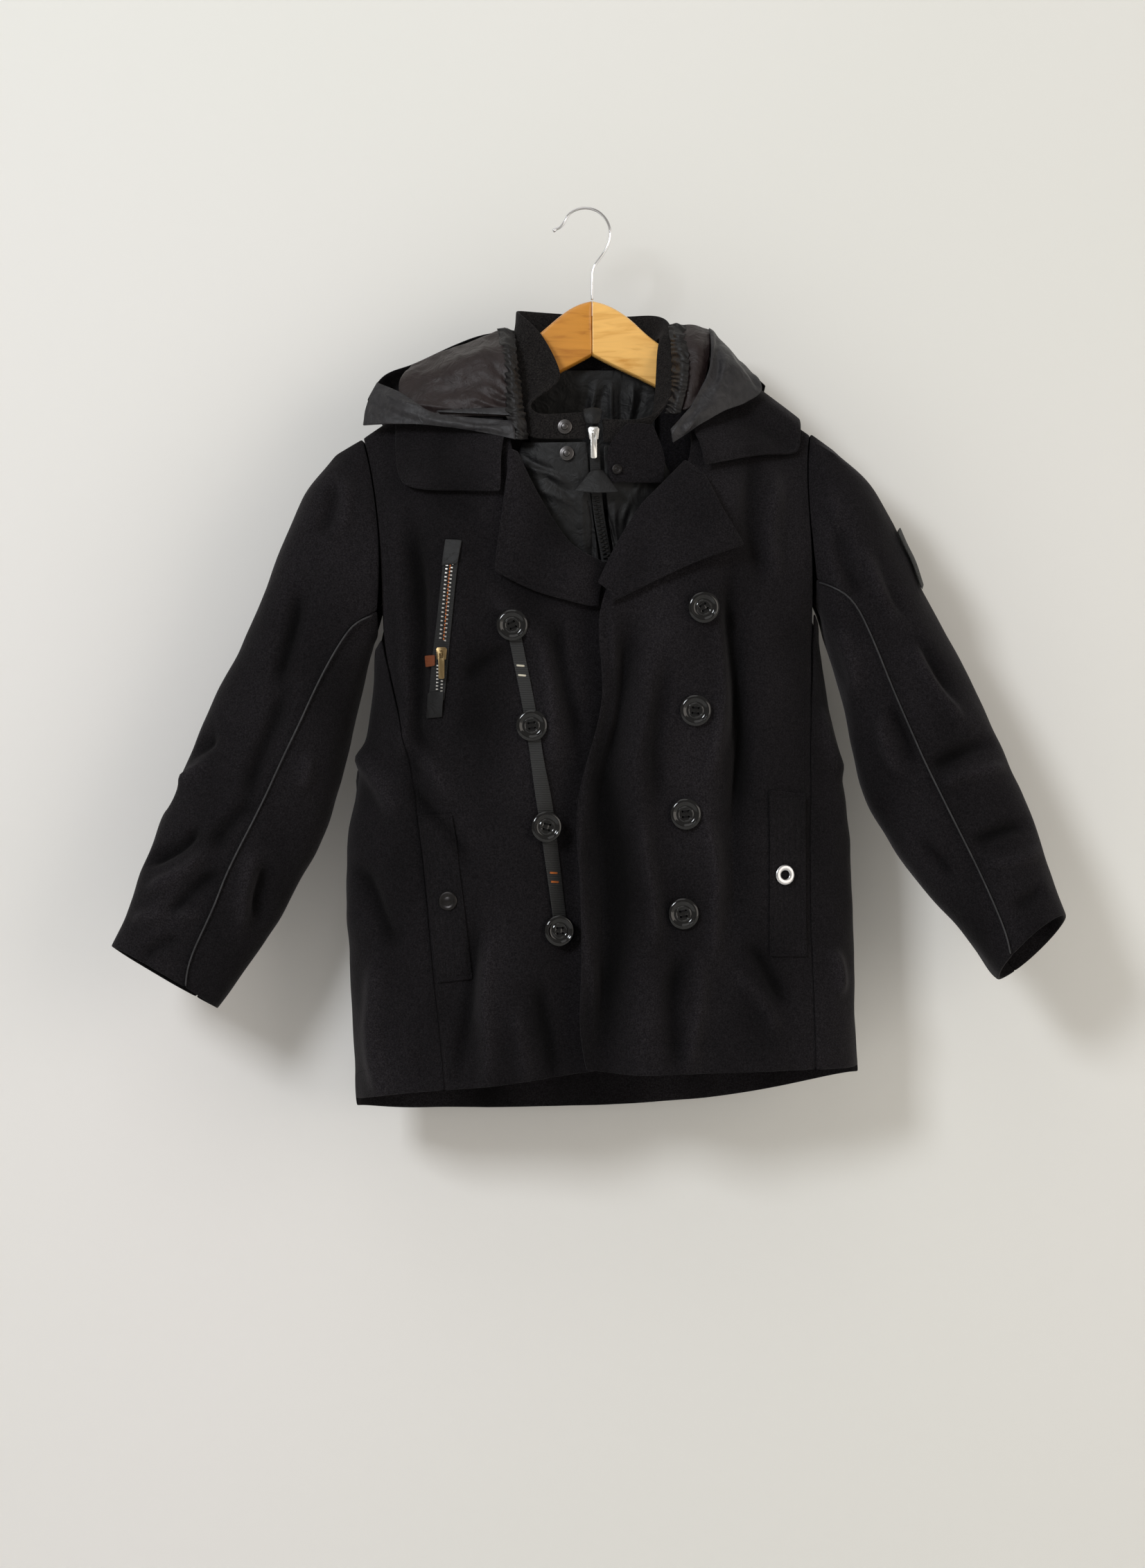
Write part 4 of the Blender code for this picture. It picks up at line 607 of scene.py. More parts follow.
def rail_piece(name, rails, across, down, thickness, folds, material, pleats=0.0):
    """A thin cloth shell with a rounded rim through rails, with folds raised towards the front."""
    grid = spline(np.stack([spline(rail, across) for rail in rails]), down)
    flat = grid.reshape(-1, 3)
    along = np.gradient(grid, axis=1)
    below = np.gradient(grid, axis=0)
    normals = np.cross(along, below)
    normals /= np.linalg.norm(normals, axis=2, keepdims=True)
    normals *= np.where(normals[..., 1:2] > 0, -1.0, 1.0)
    lift = crease_height(folds, flat[:, 0], flat[:, 2])
    lift = lift + soft_noise(flat, 15.0, 1.0) + soft_noise(flat, 6.0, 0.35)
    if pleats:
        run = flat[:, 2] + soft_noise(flat, 14.0, 6.0) + 0.4 * flat[:, 0]
        lift += pleats * np.sin(run * 1.15) * (0.6 + soft_noise(flat, 9.0, 0.8, 3.0))
    grid = grid + normals * lift.reshape(grid.shape[0], grid.shape[1], 1)
    shape = bmesh.new()
    layers = []
    for side in (0.5, -0.5):
        layer = grid + normals * (side * thickness)
        layers.append([[shape.verts.new(Vector(point) * MM) for point in row] for row in layer])
    for front in (True, False):
        rows = layers[0 if front else 1]
        for upper, lower in zip(rows, rows[1:]):
            for index in range(len(upper) - 1):
                shape.faces.new((upper[index], upper[index + 1], lower[index + 1], lower[index]))
    rims = []
    for rows in layers:
        rims.append(
            rows[0][:-1] + [row[-1] for row in rows[:-1]] + rows[-1][:0:-1] + [row[0] for row in rows[:0:-1]]
        )
    for index in range(len(rims[0])):
        after = (index + 1) % len(rims[0])
        shape.faces.new((rims[0][index], rims[0][after], rims[1][after], rims[1][index]))
    return new_piece(name, shape, material)


def cloth_pieces():
    made = {}
    for name, (material, slot, rails) in GATHERS.items():
        made[name] = rail_piece(name, rails, 18, 90, 1.2, (), material, 1.1)
    for node, (levels, material, *_) in CLOTH.items():
        slot = SLOT_OF[material]
        if node in HOOD_RAILS:
            across, down, thick, rails = HOOD_RAILS[node]
            folds = HOOD_FOLDS[node]
            piece = rail_piece(node + "_piece", rails, across, down, thick, folds, material)
            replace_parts(piece, node)
            made[node] = piece
            continue
        piece = fine_copy(node, levels, 0.3 if node in THIN else 0.75)
        finish_with(piece, material)
        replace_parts(piece, node)
        made[node] = piece
    return made


# Creases: x and z where each starts, x and z where it ends, half width, height.
FRONT_CREASES = (
    # right front
    (-133, -243, -128, -450, 9, -2.6), (-146, -300, -140, -430, 5, 1.4), (-140, -415, -104, -470, 6, 1.6),
    (-134, -455, -92, -520, 6, -1.6), (-38, -335, -18, -436, 7, 2.0), (-22, -330, -7, -428, 6, -2.4),
    (-70, -312, -38, -345, 6, 1.8), (-60, -350, -96, -372, 5, -1.1), (-72, -575, -80, -692, 7, 2.2),
    (-88, -560, -96, -690, 6, -1.6), (-52, -630, -46, -690, 7, 1.8), (-34, -610, -28, -686, 6, -1.8),
    # right side
    (-184, -420, -150, -480, 7, 2.4), (-182, -520, -148, -580, 7, -2.0), (-168, -590, -160, -700, 8, 2.4),
    # left front, from the shoulder down
    (128, -205, 134, -296, 7, -1.8), (146, -210, 150, -300, 7, 1.6), (117, -296, 114, -480, 6, -3.0),
    (106, -320, 102, -452, 6, 2.2), (24, -330, 17, -432, 4, 1.2), (3, -440, 2, -650, 4, 1.2),
    (32, -330, 22, -440, 9, -2.4), (18, -430, 20, -660, 12, -3.0), (58, -360, 56, -470, 7, -2.0),
    (48, -480, 52, -580, 6, 2.2), (94, -480, 104, -590, 6, 2.2), (72, -590, 66, -676, 7, -2.2),
    (88, -590, 84, -678, 6, 1.8), (118, -600, 150, -648, 6, 1.8), (126, -580, 158, -626, 5, -1.6),
    # left side
    (194, -586, 200, -620, 5, 2.2), (184, -400, 204, -450, 6, 1.8),
)
BACK_CREASES = (
    # from the shoulders and armholes
    (-120, -262, 110, -254, 12, -1.6), (-140, -300, -84, -420, 10, 2.6), (-120, -290, -60, -400, 8, -2.0),
    (150, -290, 96, -410, 10, 2.6), (132, -282, 78, -392, 8, -2.0),
    # towards the hem
    (-110, -480, -118, -712, 12, 2.4), (-78, -520, -84, -714, 10, -2.2), (-14, -460, -20, -714, 11, -2.0),
    (22, -500, 16, -712, 11, 2.2), (88, -500, 98, -708, 10, -2.2), (128, -470, 140, -700, 12, 2.4),
    # from the side seams
    (-182, -440, -140, -520, 9, 2.0), (206, -430, 160, -510, 9, 2.0),
)
SLEEVE_RIGHT_CREASES = (
    # cap and long trough
    (-196, -222, -206, -262, 6, -1.8), (-184, -216, -190, -256, 5, 1.5), (-226, -305, -238, -380, 6, -2.4),
    (-238, -380, -262, -470, 6, -2.2), (-262, -470, -292, -506, 6, -2.0),
    # elbow and below
    (-290, -420, -318, -432, 5, -1.8), (-296, -440, -330, -458, 5, 2.0), (-302, -492, -342, -520, 5, -2.6),
    (-296, -510, -338, -540, 5, 2.2), (-286, -524, -330, -560, 5, -2.2), (-300, -556, -352, -562, 5, 1.8),
    # under the arm and cuff
    (-216, -432, -224, -458, 5, 2.2), (-250, -520, -254, -562, 5, -2.2), (-262, -508, -270, -570, 5, 2.0),
    (-318, -574, -346, -590, 5, -1.6),
)
SLEEVE_LEFT_CREASES = (
    # cap and long ridge
    (188, -226, 198, -262, 5, 1.8), (190, -246, 214, -312, 6, -2.2), (216, -276, 254, -342, 5, 2.2),
    (254, -342, 292, -410, 5, 2.2), (236, -300, 284, -392, 6, -1.8),
    # under the arm
    (228, -404, 244, -448, 5, 2.4), (238, -396, 256, -440, 4, -1.8), (200, -334, 214, -388, 5, 2.0),
    # elbow, below it and cuff
    (268, -440, 318, -424, 5, -2.2), (276, -456, 326, -442, 5, 2.0), (300, -500, 346, -488, 5, -2.0),
    (310, -520, 354, -510, 5, 1.8), (262, -500, 282, -528, 5, -2.0), (330, -552, 356, -538, 5, -1.4),
)
SLEEVE_BACK_CREASES = (
    # the same on both sleeves, by distance out from the shoulder tip and down
    (96, -258, 150, -288, 8, -3.0), (90, -284, 142, -316, 8, 2.4), (24, -150, 70, -232, 8, 2.4),
    (48, -100, 96, -214, 9, -2.4), (122, -352, 168, -364, 7, -2.0), (58, -250, 84, -320, 7, 2.0),
)
SHOULDER_TIPS = {"right": (-182.0, -183.0, -1.0), "left": (180.0, -180.0, 1.0)}
SLEEVE_AXES = {
    # x and z at the armhole and at the cuff, y at the cuff
    "right": (-186.0, -265.0, -330.0, -608.0, -25.0),
    "left": (186.0, -255.0, 349.0, -583.0, -33.0),
}
# A sleeve's half width and half depth at the armhole, and how much less they are at the cuff.
SLEEVE_HALF, SLEEVE_NARROWS = 80.0, 34.0
SLEEVE_DEPTH, SLEEVE_THINS = 42.0, 10.0
BODY_MIDDLE, BODY_HALF, BODY_DEPTH = 14.0, 205.0, 58.0


def body_ways(points):
    """The direction out of the body at each point, the same for both sides of the wall."""
    ways = np.stack([
        (points[:, 0] - BODY_MIDDLE) / BODY_HALF ** 2, points[:, 1] / BODY_DEPTH ** 2,
        np.zeros(len(points)),
    ], axis=1)
    return ways / np.linalg.norm(ways, axis=1, keepdims=True)


def sleeve_ways(side):
    x1, z1, x2, z2, y2 = SLEEVE_AXES[side]

    def ways(points):
        run = np.array([x2 - x1, 0.0, z2 - z1])
        length = np.linalg.norm(run)
        run = run / length
        off = points - np.array([x1, 0.0, z1])
        share = np.clip(off @ run / length, 0.0, 1.0)
        off = off - np.outer(off @ run, run)
        off[:, 1] -= y2 * share
        wide = SLEEVE_HALF - SLEEVE_NARROWS * share
        deep = SLEEVE_DEPTH - SLEEVE_THINS * share
        flat = np.stack([off[:, 0] / wide ** 2, off[:, 1] / deep ** 2, off[:, 2] / wide ** 2], axis=1)
        return flat / np.linalg.norm(flat, axis=1, keepdims=True)

    return ways


FOLD_DEPTH = 3.0
NECK_HEIGHT, NECK_MIDDLE, NECK_HALF, SHOULDER_SLOPE = -104.0, 6.0, 50.0, 0.58
CALM_LINES = (
    # routes that the folds stay away from: the chest zip and the two armholes
    ((-102, -262), (-115, -408)),
    ((-174, -190), (-159, -275), (-157, -346)),
    ((177, -190), (178, -325)),
)


def fold_shift(points, ways, front, back=()):
    """How far the folds and a slow unevenness move each point of the cloth, in millimetres."""
    height = crease_height(front, points[:, 0], points[:, 2]) * ramp((-ways[:, 1] + 0.1) / 0.5)
    height += crease_height(back, points[:, 0], points[:, 2]) * ramp((ways[:, 1] + 0.1) / 0.5)
    height *= FOLD_DEPTH
    height += soft_noise(points, 24.0, 1.1) + soft_noise(points * (1.0, 1.0, 0.4), 46.0, 4.2, 7.0)
    height *= ramp((shoulder_height(points[:, 0]) - points[:, 2] - 6.0) / 24.0)
    for line in CALM_LINES:
        height *= ramp((near_line(points, line) - 6.0) / 16.0)
    return height


def crease(piece, ways_of, front, back=()):
    """Moves a piece's points out by its folds, and keeps each point's height, with a slow random patchiness,
    for painted shade in the wool's troughs and painted highlight on its ridges.
    """
    points = points_of(piece)
    ways = ways_of(points)
    height = fold_shift(points, ways, front, back)
    move_points(piece, points + ways * height[:, None])
    # The kept height becomes painted shade and highlight in the wool's colour; the patches add a random
    # tone.
    patches = soft_noise(points * (1.0, 1.0, 0.35), 38.0, 5.0, 21.0)
    painted_fold_shade = piece.data.attributes.new("painted_fold_shade", "FLOAT", "POINT")
    painted_fold_shade.data.foreach_set("value", height + patches)


def shoulder_height(x):
    """Height of the shoulder line, so that creases fade out before the shoulder's ridge."""
    return NECK_HEIGHT - SHOULDER_SLOPE * np.maximum(np.abs(x - NECK_MIDDLE) - NECK_HALF, 0.0)


def mirrored_back(side):
    x, z, sign = SHOULDER_TIPS[side]
    return tuple(
        (x + sign * a1, z + b1, x + sign * a2, z + b2, width, height)
        for a1, b1, a2, b2, width, height in SLEEVE_BACK_CREASES
    )


ON_BODY = (
    "front_right", "front_left", "side_right", "side_left", "back", "hood_back", "lapel_left",
    "lapel_right", "fall_collar", "pocket_welt_left", "pocket_welt_right", "button_tape",
)


def on_body(point):
    """Where a point of the plain coat is once the body's folds are in."""
    points = np.array([tuple(point)])
    ways = body_ways(points)
    return Vector((points + ways * fold_shift(points, ways, FRONT_CREASES)[:, None])[0])


BIB_FOLDS = (
    # right of the zip
    (-54, -196, -24, -214, 1.8, -1.4), (-46, -207, -14, -222, 2.2, 1.7), (-36, -214, -10, -230, 2.2, -1.6),
    (-40, -224, -12, -238, 2.4, 1.6), (0, -226, 9, -300, 1.3, -1.4),
    # channels beside the zip
    (-4, -232, 5, -300, 1.6, 1.1), (17, -232, 27, -300, 1.3, -1.4), (21, -234, 31, -300, 1.6, 1.2),
    (44, -214, 30, -252, 2.0, 1.8),
    # left of the zip
    (52, -236, 33, -276, 2.4, 1.8), (40, -226, 30, -262, 2.0, -1.6),
)
PLEAT_PLACES = (2, 9, 15, 23, 30, 38, 45)      # x of the neck lining's pleats


def crease_inside(cloth):
    """Folds of the bib and pleats of the neck lining, all raised towards the front."""
    pleats = [
        (x, -138, x - 5, -184, 1.9, 2.2 if index % 2 else -1.6) for index, x in enumerate(PLEAT_PLACES)
    ]
    for node, table in (("bib_right", BIB_FOLDS), ("bib_left", BIB_FOLDS), ("neck_lining", pleats)):
        points = points_of(cloth[node])
        lift = crease_height(table, points[:, 0], points[:, 2]) + soft_noise(points, 12.0, 0.6)
        points[:, 1] -= lift
        move_points(cloth[node], points)


def crease_cloth(cloth):
    crease_inside(cloth)
    for node in ON_BODY:
        crease(cloth[node], body_ways, FRONT_CREASES, BACK_CREASES)
    for side, table in (("right", SLEEVE_RIGHT_CREASES), ("left", SLEEVE_LEFT_CREASES)):
        for half in ("sleeve_top_", "sleeve_under_"):
            crease(cloth[half + side], sleeve_ways(side), table, mirrored_back(side))
    crease(cloth["sleeve_patch"], sleeve_ways("left"), SLEEVE_LEFT_CREASES, mirrored_back("left"))


# ---- hanger, buttons, snaps, zips

def hanger_pieces():
    for node, material in (("hanger_wood_right", BEECH_RIGHT), ("hanger_wood_left", BEECH_LEFT)):
        piece = fine_copy(node, 2, 0.5, 40.0)
        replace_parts(finish_with(piece, material), node)
    hook = fine_copy("hanger_hook", 2, 0.0)
    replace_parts(finish_with(hook, CHROME), "hanger_hook")


def disc_frame(node):
    """Centre of a disc-shaped node's back and the direction it faces, in millimetres."""
    corners = np.array([vertex.co for vertex in nodes[node].data.vertices]) / MM
    centre = corners.mean(axis=0)
    _, _, ways = np.linalg.svd(corners - centre)
    normal = ways[2] if ways[2][1] < 0 else -ways[2]
    heights = (corners - centre) @ normal
    return Vector(centre + normal * heights.min()), Vector(normal), float(np.ptp(heights))


def stand_up(piece, base, normal, turn=0.0):
    """Puts a piece modelled along +Z on a base, facing a normal, and applies its place."""
    spin = Matrix.Rotation(turn, 4, "Z")
    aim = normal.to_track_quat("Z", "Y").to_matrix().to_4x4()
    piece.data.transform(Matrix.Translation(base * MM) @ aim @ spin)
    piece.data.update()


def select_top(piece):
    """Selects the topmost flat face in edit mode."""
    bpy.ops.object.mode_set(mode="EDIT")
    bpy.ops.mesh.select_mode(type="FACE")
    bpy.ops.mesh.select_all(action="DESELECT")
    shape = bmesh.from_edit_mesh(piece.data)
    shape.faces.ensure_lookup_table()
    top = max(shape.faces, key=lambda face: (face.calc_center_median().z, face.calc_area()))
    top.select = True
    bmesh.update_edit_mesh(piece.data)


def turned_disc(name, radius, depth, steps, sides=40):
    """A disc with rings cut into its top one by one. Each step is an inset and a rise in mm."""
    bpy.ops.mesh.primitive_cylinder_add(
        vertices=sides, radius=radius * MM, depth=depth * MM, location=(0, 0, depth * MM / 2),
    )
    piece = bpy.context.active_object
    piece.name = name
    bpy.ops.object.transform_apply(location=True, rotation=True, scale=True)
    select_top(piece)
    for inset, rise in steps:
        bpy.ops.mesh.inset(thickness=inset * MM)
        bpy.ops.transform.translate(value=(0, 0, rise * MM))
    bpy.ops.object.mode_set(mode="OBJECT")
    return piece


def round_edges(piece, width, segments=2, angle=30.0):
    change = piece.modifiers.new("edges", "BEVEL")
    change.width = width * MM
    change.segments = segments
    change.limit_method = "ANGLE"
    change.angle_limit = math.radians(angle)
    apply_all(piece)
    choose(piece)
    bpy.ops.object.shade_smooth_by_angle(angle=math.radians(40.0))


def drill(piece, places, radius, depth=12.0, sides=16):
    """Drills round holes through a disc lying in XY."""
    for x, y in places:
        bpy.ops.mesh.primitive_cylinder_add(
            vertices=sides, radius=radius * MM, depth=depth * MM, location=(x * MM, y * MM, 0),
        )
        cutter = bpy.context.active_object
        change = piece.modifiers.new("hole", "BOOLEAN")
        change.operation = "DIFFERENCE"
        change.solver = "EXACT"
        change.object = cutter
        apply_all(piece)
        bpy.data.objects.remove(cutter)


BUTTON_RADIUS = 12.0
HOLE_SPREAD = 2.1
# Turns of the buttons as sewn, in degrees, from the top down.
BUTTON_TURNS = {"right": (24, 8, -14, 2), "left": (30, -6, 4, 10)}


def button_model():
    button = turned_disc("button_model", BUTTON_RADIUS, 2.6, (
        (1.3, 0.9), (1.2, 0.1), (1.3, -0.9), (0.9, -0.5), (1.1, 0.0), (0.7, 0.5), (0.6, -0.45),
    ))
    holes = [(HOLE_SPREAD * a, HOLE_SPREAD * b) for a in (-1, 1) for b in (-1, 1)]
    drill(button, holes, 0.95)
    round_edges(button, 0.28)
    return button


def buttons():
    model = button_model()
    threads = bmesh.new()
    for side, turns in BUTTON_TURNS.items():
        for number, degrees in enumerate(turns, 1):
            node = "button_%s_%d" % (side, number)
            base, normal, _ = disc_frame(node)
            base = on_body(base)
            button = link_new(node + "_piece", model.data.copy())
            stand_up(button, base, normal, math.radians(degrees))
            finish_with(button, BUTTON_BLACK)
            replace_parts(button, node)
            sew_button(threads, base, normal, math.radians(degrees))
    bpy.data.objects.remove(model)
    new_piece("button_threads", threads, THREAD)


def sew_button(threads, base, normal, turn):
    """Two bars of thread over the holes, and a shank under the button."""
    aim = normal.to_track_quat("Z", "Y").to_matrix()
    for side in (-1, 1):
        for lift in (-0.35, 0.35):
            ends = []
            for end in (-1, 1):
                x, y = end * HOLE_SPREAD, side * HOLE_SPREAD + lift
                local = Vector((
                    x * math.cos(turn) - y * math.sin(turn), x * math.sin(turn) + y * math.cos(turn), 2.5,
                ))
                ends.append(base + aim @ local)
            add_thread(threads, ends[0], ends[1], normal, 0.36)
    for index in range(4):
        angle = math.pi / 2.0 * index + turn
        foot = aim @ Vector((1.3 * math.cos(angle), 1.3 * math.sin(angle), 0.0))
        foot += base
        add_thread(threads, foot + normal * 0.6, foot - normal * 3.0, aim @ Vector((1, 0, 0)), 0.8)


def snaps():
    cap = turned_disc("snap_model", 7.4, 0.9, (
        (0.7, 0.5), (1.3, 0.1), (0.9, -0.45), (1.6, 0.0), (0.5, 0.2),
    ), 36)
    round_edges(cap, 0.16)
    stud = turned_disc("stud_model", 5.6, 0.8, (
        (1.1, 0.3), (1.7, 0.1), (0.3, 1.5), (-0.3, 0.3), (0.7, 0.35),
    ), 32)
    round_edges(stud, 0.14)
    small = turned_disc("small_model", 4.0, 0.7, (
        (0.5, 0.4), (0.8, 0.1), (0.6, -0.4), (0.9, 0.0), (0.3, 0.2),
    ), 28)
    round_edges(small, 0.12)
    for node, model, material in (
        ("welt_snap", cap, SNAP_BLACK), ("chin_snap", small, SNAP_BLACK),
        ("snap_stud_top", stud, GUNMETAL), ("snap_stud_low", stud, GUNMETAL),
    ):
        base, normal, _ = disc_frame(node)
        if node == "welt_snap":
            base = on_body(base)
        piece = link_new(node + "_piece", model.data.copy())
        stand_up(piece, base, normal)
        finish_with(piece, material)
        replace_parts(piece, node)
    for model in (cap, stud, small):
        bpy.data.objects.remove(model)
    eyelet = fine_copy("welt_eyelet", 2, 0.0)
    middle = Vector(points_of(eyelet).mean(axis=0))
    eyelet.data.transform(Matrix.Translation((on_body(middle) - middle) * MM))
    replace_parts(finish_with(eyelet, RING_STEEL), "welt_eyelet")


def metal_zip_parts():
    for node, body in (
        ("bib_slider", "coat"), ("chest_slider", "coat"),
        ("bib_zip_pull", "bib_pull"), ("chest_zip_pull", "chest_pull"),
    ):
        piece = welded_copy(node)
        bpy.ops.mesh.dissolve_limited(angle_limit=math.radians(1.0))
        bpy.ops.object.mode_set(mode="OBJECT")
        round_edges(piece, 0.14)
        finish_with(piece, ZIP_SILVER if "bib" in node else ZIP_BRASS, body)
        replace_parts(piece, node)


def tooth_model(wide, tall, deep):
    """One zip tooth: a block drawn in towards its nose, lying along +X."""
    bpy.ops.mesh.primitive_cube_add(size=1.0)
    tooth = bpy.context.active_object
    tooth.name = "tooth_model"
    tooth.data.transform(Matrix.Diagonal((wide * MM, tall * MM, deep * MM, 1.0)))
    bpy.ops.object.mode_set(mode="EDIT")
    bpy.ops.mesh.select_mode(type="FACE")
    bpy.ops.mesh.select_all(action="DESELECT")
    shape = bmesh.from_edit_mesh(tooth.data)
    for face in shape.faces:
        face.select = face.normal.x > 0.9
    bmesh.update_edit_mesh(tooth.data)
    bpy.ops.transform.resize(value=(1.0, 0.62, 0.85))
    bpy.ops.object.mode_set(mode="OBJECT")
    round_edges(tooth, 0.12, 1)
    return tooth


def stamp(name, model, places, material, body="coat"):
    """Copies of a small model at places, in one piece."""
    shape = bmesh.new()
    for place in places:
        start = len(shape.verts)
        shape.from_mesh(model.data)
        shape.verts.ensure_lookup_table()
        for vertex in shape.verts[start:]:
            vertex.co = place @ vertex.co
    return new_piece(name, shape, material, body, smooth=False)


def zip_chain(name, tree, route, pitch, tooth, gap, material, lift):
    """Two rows of teeth that mesh along a route."""
    line = dropped_line(tree, rounded_route(route), step=0.4)
    places = ([], [])
    travelled, count = 0.0, 0
    for (before, _), (point, normal) in zip(line, line[1:]):
        step = (point - before).length
        travelled += step
        if travelled < pitch / 2.0:
            continue
        travelled = 0.0
        ahead = (point - before).normalized()
        across = ahead.cross(normal).normalized()
        side = 1 if count % 2 else -1
        nose = across * -side
        turn = Matrix((nose, normal.cross(nose), normal)).transposed().to_4x4()
        centre = point + across * side * gap + normal * lift
        places[count % 2].append(Matrix.Translation(centre * MM) @ turn)
        count += 1
    for row, word in zip(places, ("right", "left")):
        stamp(name + "_" + word, tooth, row, material)


CHEST_CHAIN = ((-104.5, -281.0), (-106.4, -300.0), (-110.6, -346.0))
CHEST_CHAIN_LOW = ((-112.4, -361.5), (-113.2, -384.0))
BIB_CHAIN = ((7.2, -232.0), (9.0, -240.0), (13.0, -262.0), (17.5, -286.0), (19.5, -330.0))


def zips(cloth):
    metal_zip_parts()
    tape = piece_tree(cloth["chest_zip"])
    tooth = tooth_model(1.9, 1.35, 1.2)
    for name, route in (("chest_teeth", CHEST_CHAIN), ("chest_teeth_low", CHEST_CHAIN_LOW)):
        zip_chain(name, tape, route, 2.6, tooth, 2.0, ZIP_SILVER, 0.45)
    bpy.data.objects.remove(tooth)
    line = dropped_line(tape, rounded_route([(x + 0.5, z) for x, z in CHEST_CHAIN]), step=0.5)
    sew("chest_zip_orange", [line], ORANGE_TAPE, 2.0, 1.9, 0.6)
    tape = piece_tree(cloth["bib_zip"])
    tooth = tooth_model(2.9, 1.5, 1.4)
    zip_chain("bib_teeth", tape, BIB_CHAIN, 2.9, tooth, 1.2, BUTTON_BLACK, 0.6)
    bpy.data.objects.remove(tooth)


# ---- sewing

# Kinds of stitching: half width and depth of the groove under it, and points of its curve.
EDGE, HEM, SEAM = (2.0, 0.75, 90), (2.4, 0.8, 50), (2.0, 0.5, 60)
CUFF, SLEEVE = (2.4, 0.8, 20), (2.0, 0.5, 50)
STITCHES = (
    # name, the pieces it lies on, kind, then x and z
    ("fall_right", ("fall_collar",), EDGE, (
        (-64.5, -226.8), (-84, -229), (-117, -232), (-129.5, -232), (-136.5, -229), (-139.2, -223),
        (-139.8, -186),
    )),
    ("fall_left", ("fall_collar",), EDGE, (
        (90.5, -210.5), (109.5, -202), (131.5, -196.3), (153.5, -193.3), (165.3, -189.4), (165.4, -184.5),
        (160, -173.5), (144, -160.5),
    )),
    ("lapel_right", ("lapel_right",), EDGE, (
        (-54.5, -216), (-59.3, -246), (-65.3, -287.5), (-57, -296.3), (-27, -305.8), (5, -314.5),
    )),
    ("lapel_left", ("lapel_left",), EDGE, (
        (87, -217), (98, -240), (111.2, -267.5), (108.5, -271.8), (74, -287.8), (44.5, -293.6), (27, -300),
        (19.5, -308),
    )),
    ("front_edge", ("front_left",), EDGE, (
        (15.5, -322), (16, -334), (17.8, -351), (20.6, -372), (21, -393), (15.2, -415), (6.2, -445),
        (-0.8, -469), (-1, -484), (0.6, -505), (2.4, -524), (4, -589), (3.6, -614), (1.6, -649), (7, -676),
    )),
    ("hem_right", ("front_right", "side_right"), HEM, (
        (-181, -686), (-168, -680), (-110, -673.5), (-79, -669.5), (-6, -659),
    )),
    ("hem_left", ("front_left", "side_left"), HEM, (
        (3, -654.5), (45, -656.5), (89, -657.5), (145, -657), (216, -657),
    )),
    ("seam_right", ("front_right",), SEAM, (
        (-168, -197), (-157, -240), (-154, -275), (-152, -346), (-134, -427), (-121, -528), (-111, -630),
        (-105.5, -690),
    )),
    ("seam_left", ("front_left",), SEAM, (
        (170.5, -200), (172, -260), (172, -325), (170.5, -427), (170.5, -579), (173, -672),
    )),
    ("cuff_right", ("sleeve_top_right", "sleeve_under_right"), CUFF, (
        (-363, -560), (-330, -580), (-272, -611),
    )),
    ("cuff_left", ("sleeve_top_left", "sleeve_under_left"), CUFF, (
        (368, -536), (340, -556), (301, -579),
    )),
    ("sleeve_right", ("sleeve_top_right",), SLEEVE, (
        (-166, -326), (-203, -372), (-233, -433), (-265, -488), (-288.5, -546), (-309, -600),
    )),
    ("sleeve_left", ("sleeve_top_left",), SLEEVE, (
        (184, -294), (221, -341), (249.5, -393), (275, -454), (300.5, -526), (314, -566),
    )),
)
BACK_HEM = ((-180, -688), (-73, -694), (33, -692.5), (138, -682), (214, -662))
WELTS = {
    "pocket_welt_right": ((-129, -480.5), (-103, -479), (-86, -607.5), (-115, -610.5)),
    "pocket_welt_left": ((140.5, -461), (170.5, -464), (171, -590.5), (142.5, -590)),
}
WELT_LINES = (0.10, 0.26, 0.42, 0.58, 0.74, 0.90)


# Seam lines between two pieces, pressed into both: pieces, then x, z.
SEAMS = (
    (("front_right", "side_right"), (
        (-159, -275), (-157, -346), (-139, -427), (-126, -528), (-116, -630), (-111, -690),
    )),
    (("front_left", "side_left"), ((178, -325), (176, -427), (176, -579), (178.5, -690))),
    (("front_right", "sleeve_top_right"), ((-172, -194), (-164, -240), (-159, -275), (-157, -330))),
    (("front_left", "sleeve_top_left"), ((176, -191), (177.5, -250), (178, -310))),
)


def press_seams(cloth):
    """Soft grooves under every seam and row of stitches."""
    for on, points in SEAMS:
        for node in on:
            groove(cloth[node], rounded_route(points, 30), 3.4, 1.1)
    for _, on, (width, depth, _), points in STITCHES:
        for node in on:
            groove(cloth[node], rounded_route(points, 30), width, depth)
    groove(cloth["back"], rounded_route(BACK_HEM, 30), 2.4, 0.8, 1)


def welt_rows(corners):
    """Routes of a welt's rows of stitches: down its length, then across its ends."""
    a, b, c, d = (Vector(corner) for corner in corners)
    for share in WELT_LINES:
        top, low = a.lerp(b, share), d.lerp(c, share)
        yield [top.lerp(low, 0.03), top.lerp(low, 0.97)]
    for share in (0.025, 0.975):
        left, right = a.lerp(d, share), b.lerp(c, share)
        yield [left.lerp(right, 0.08), left.lerp(right, 0.92)]


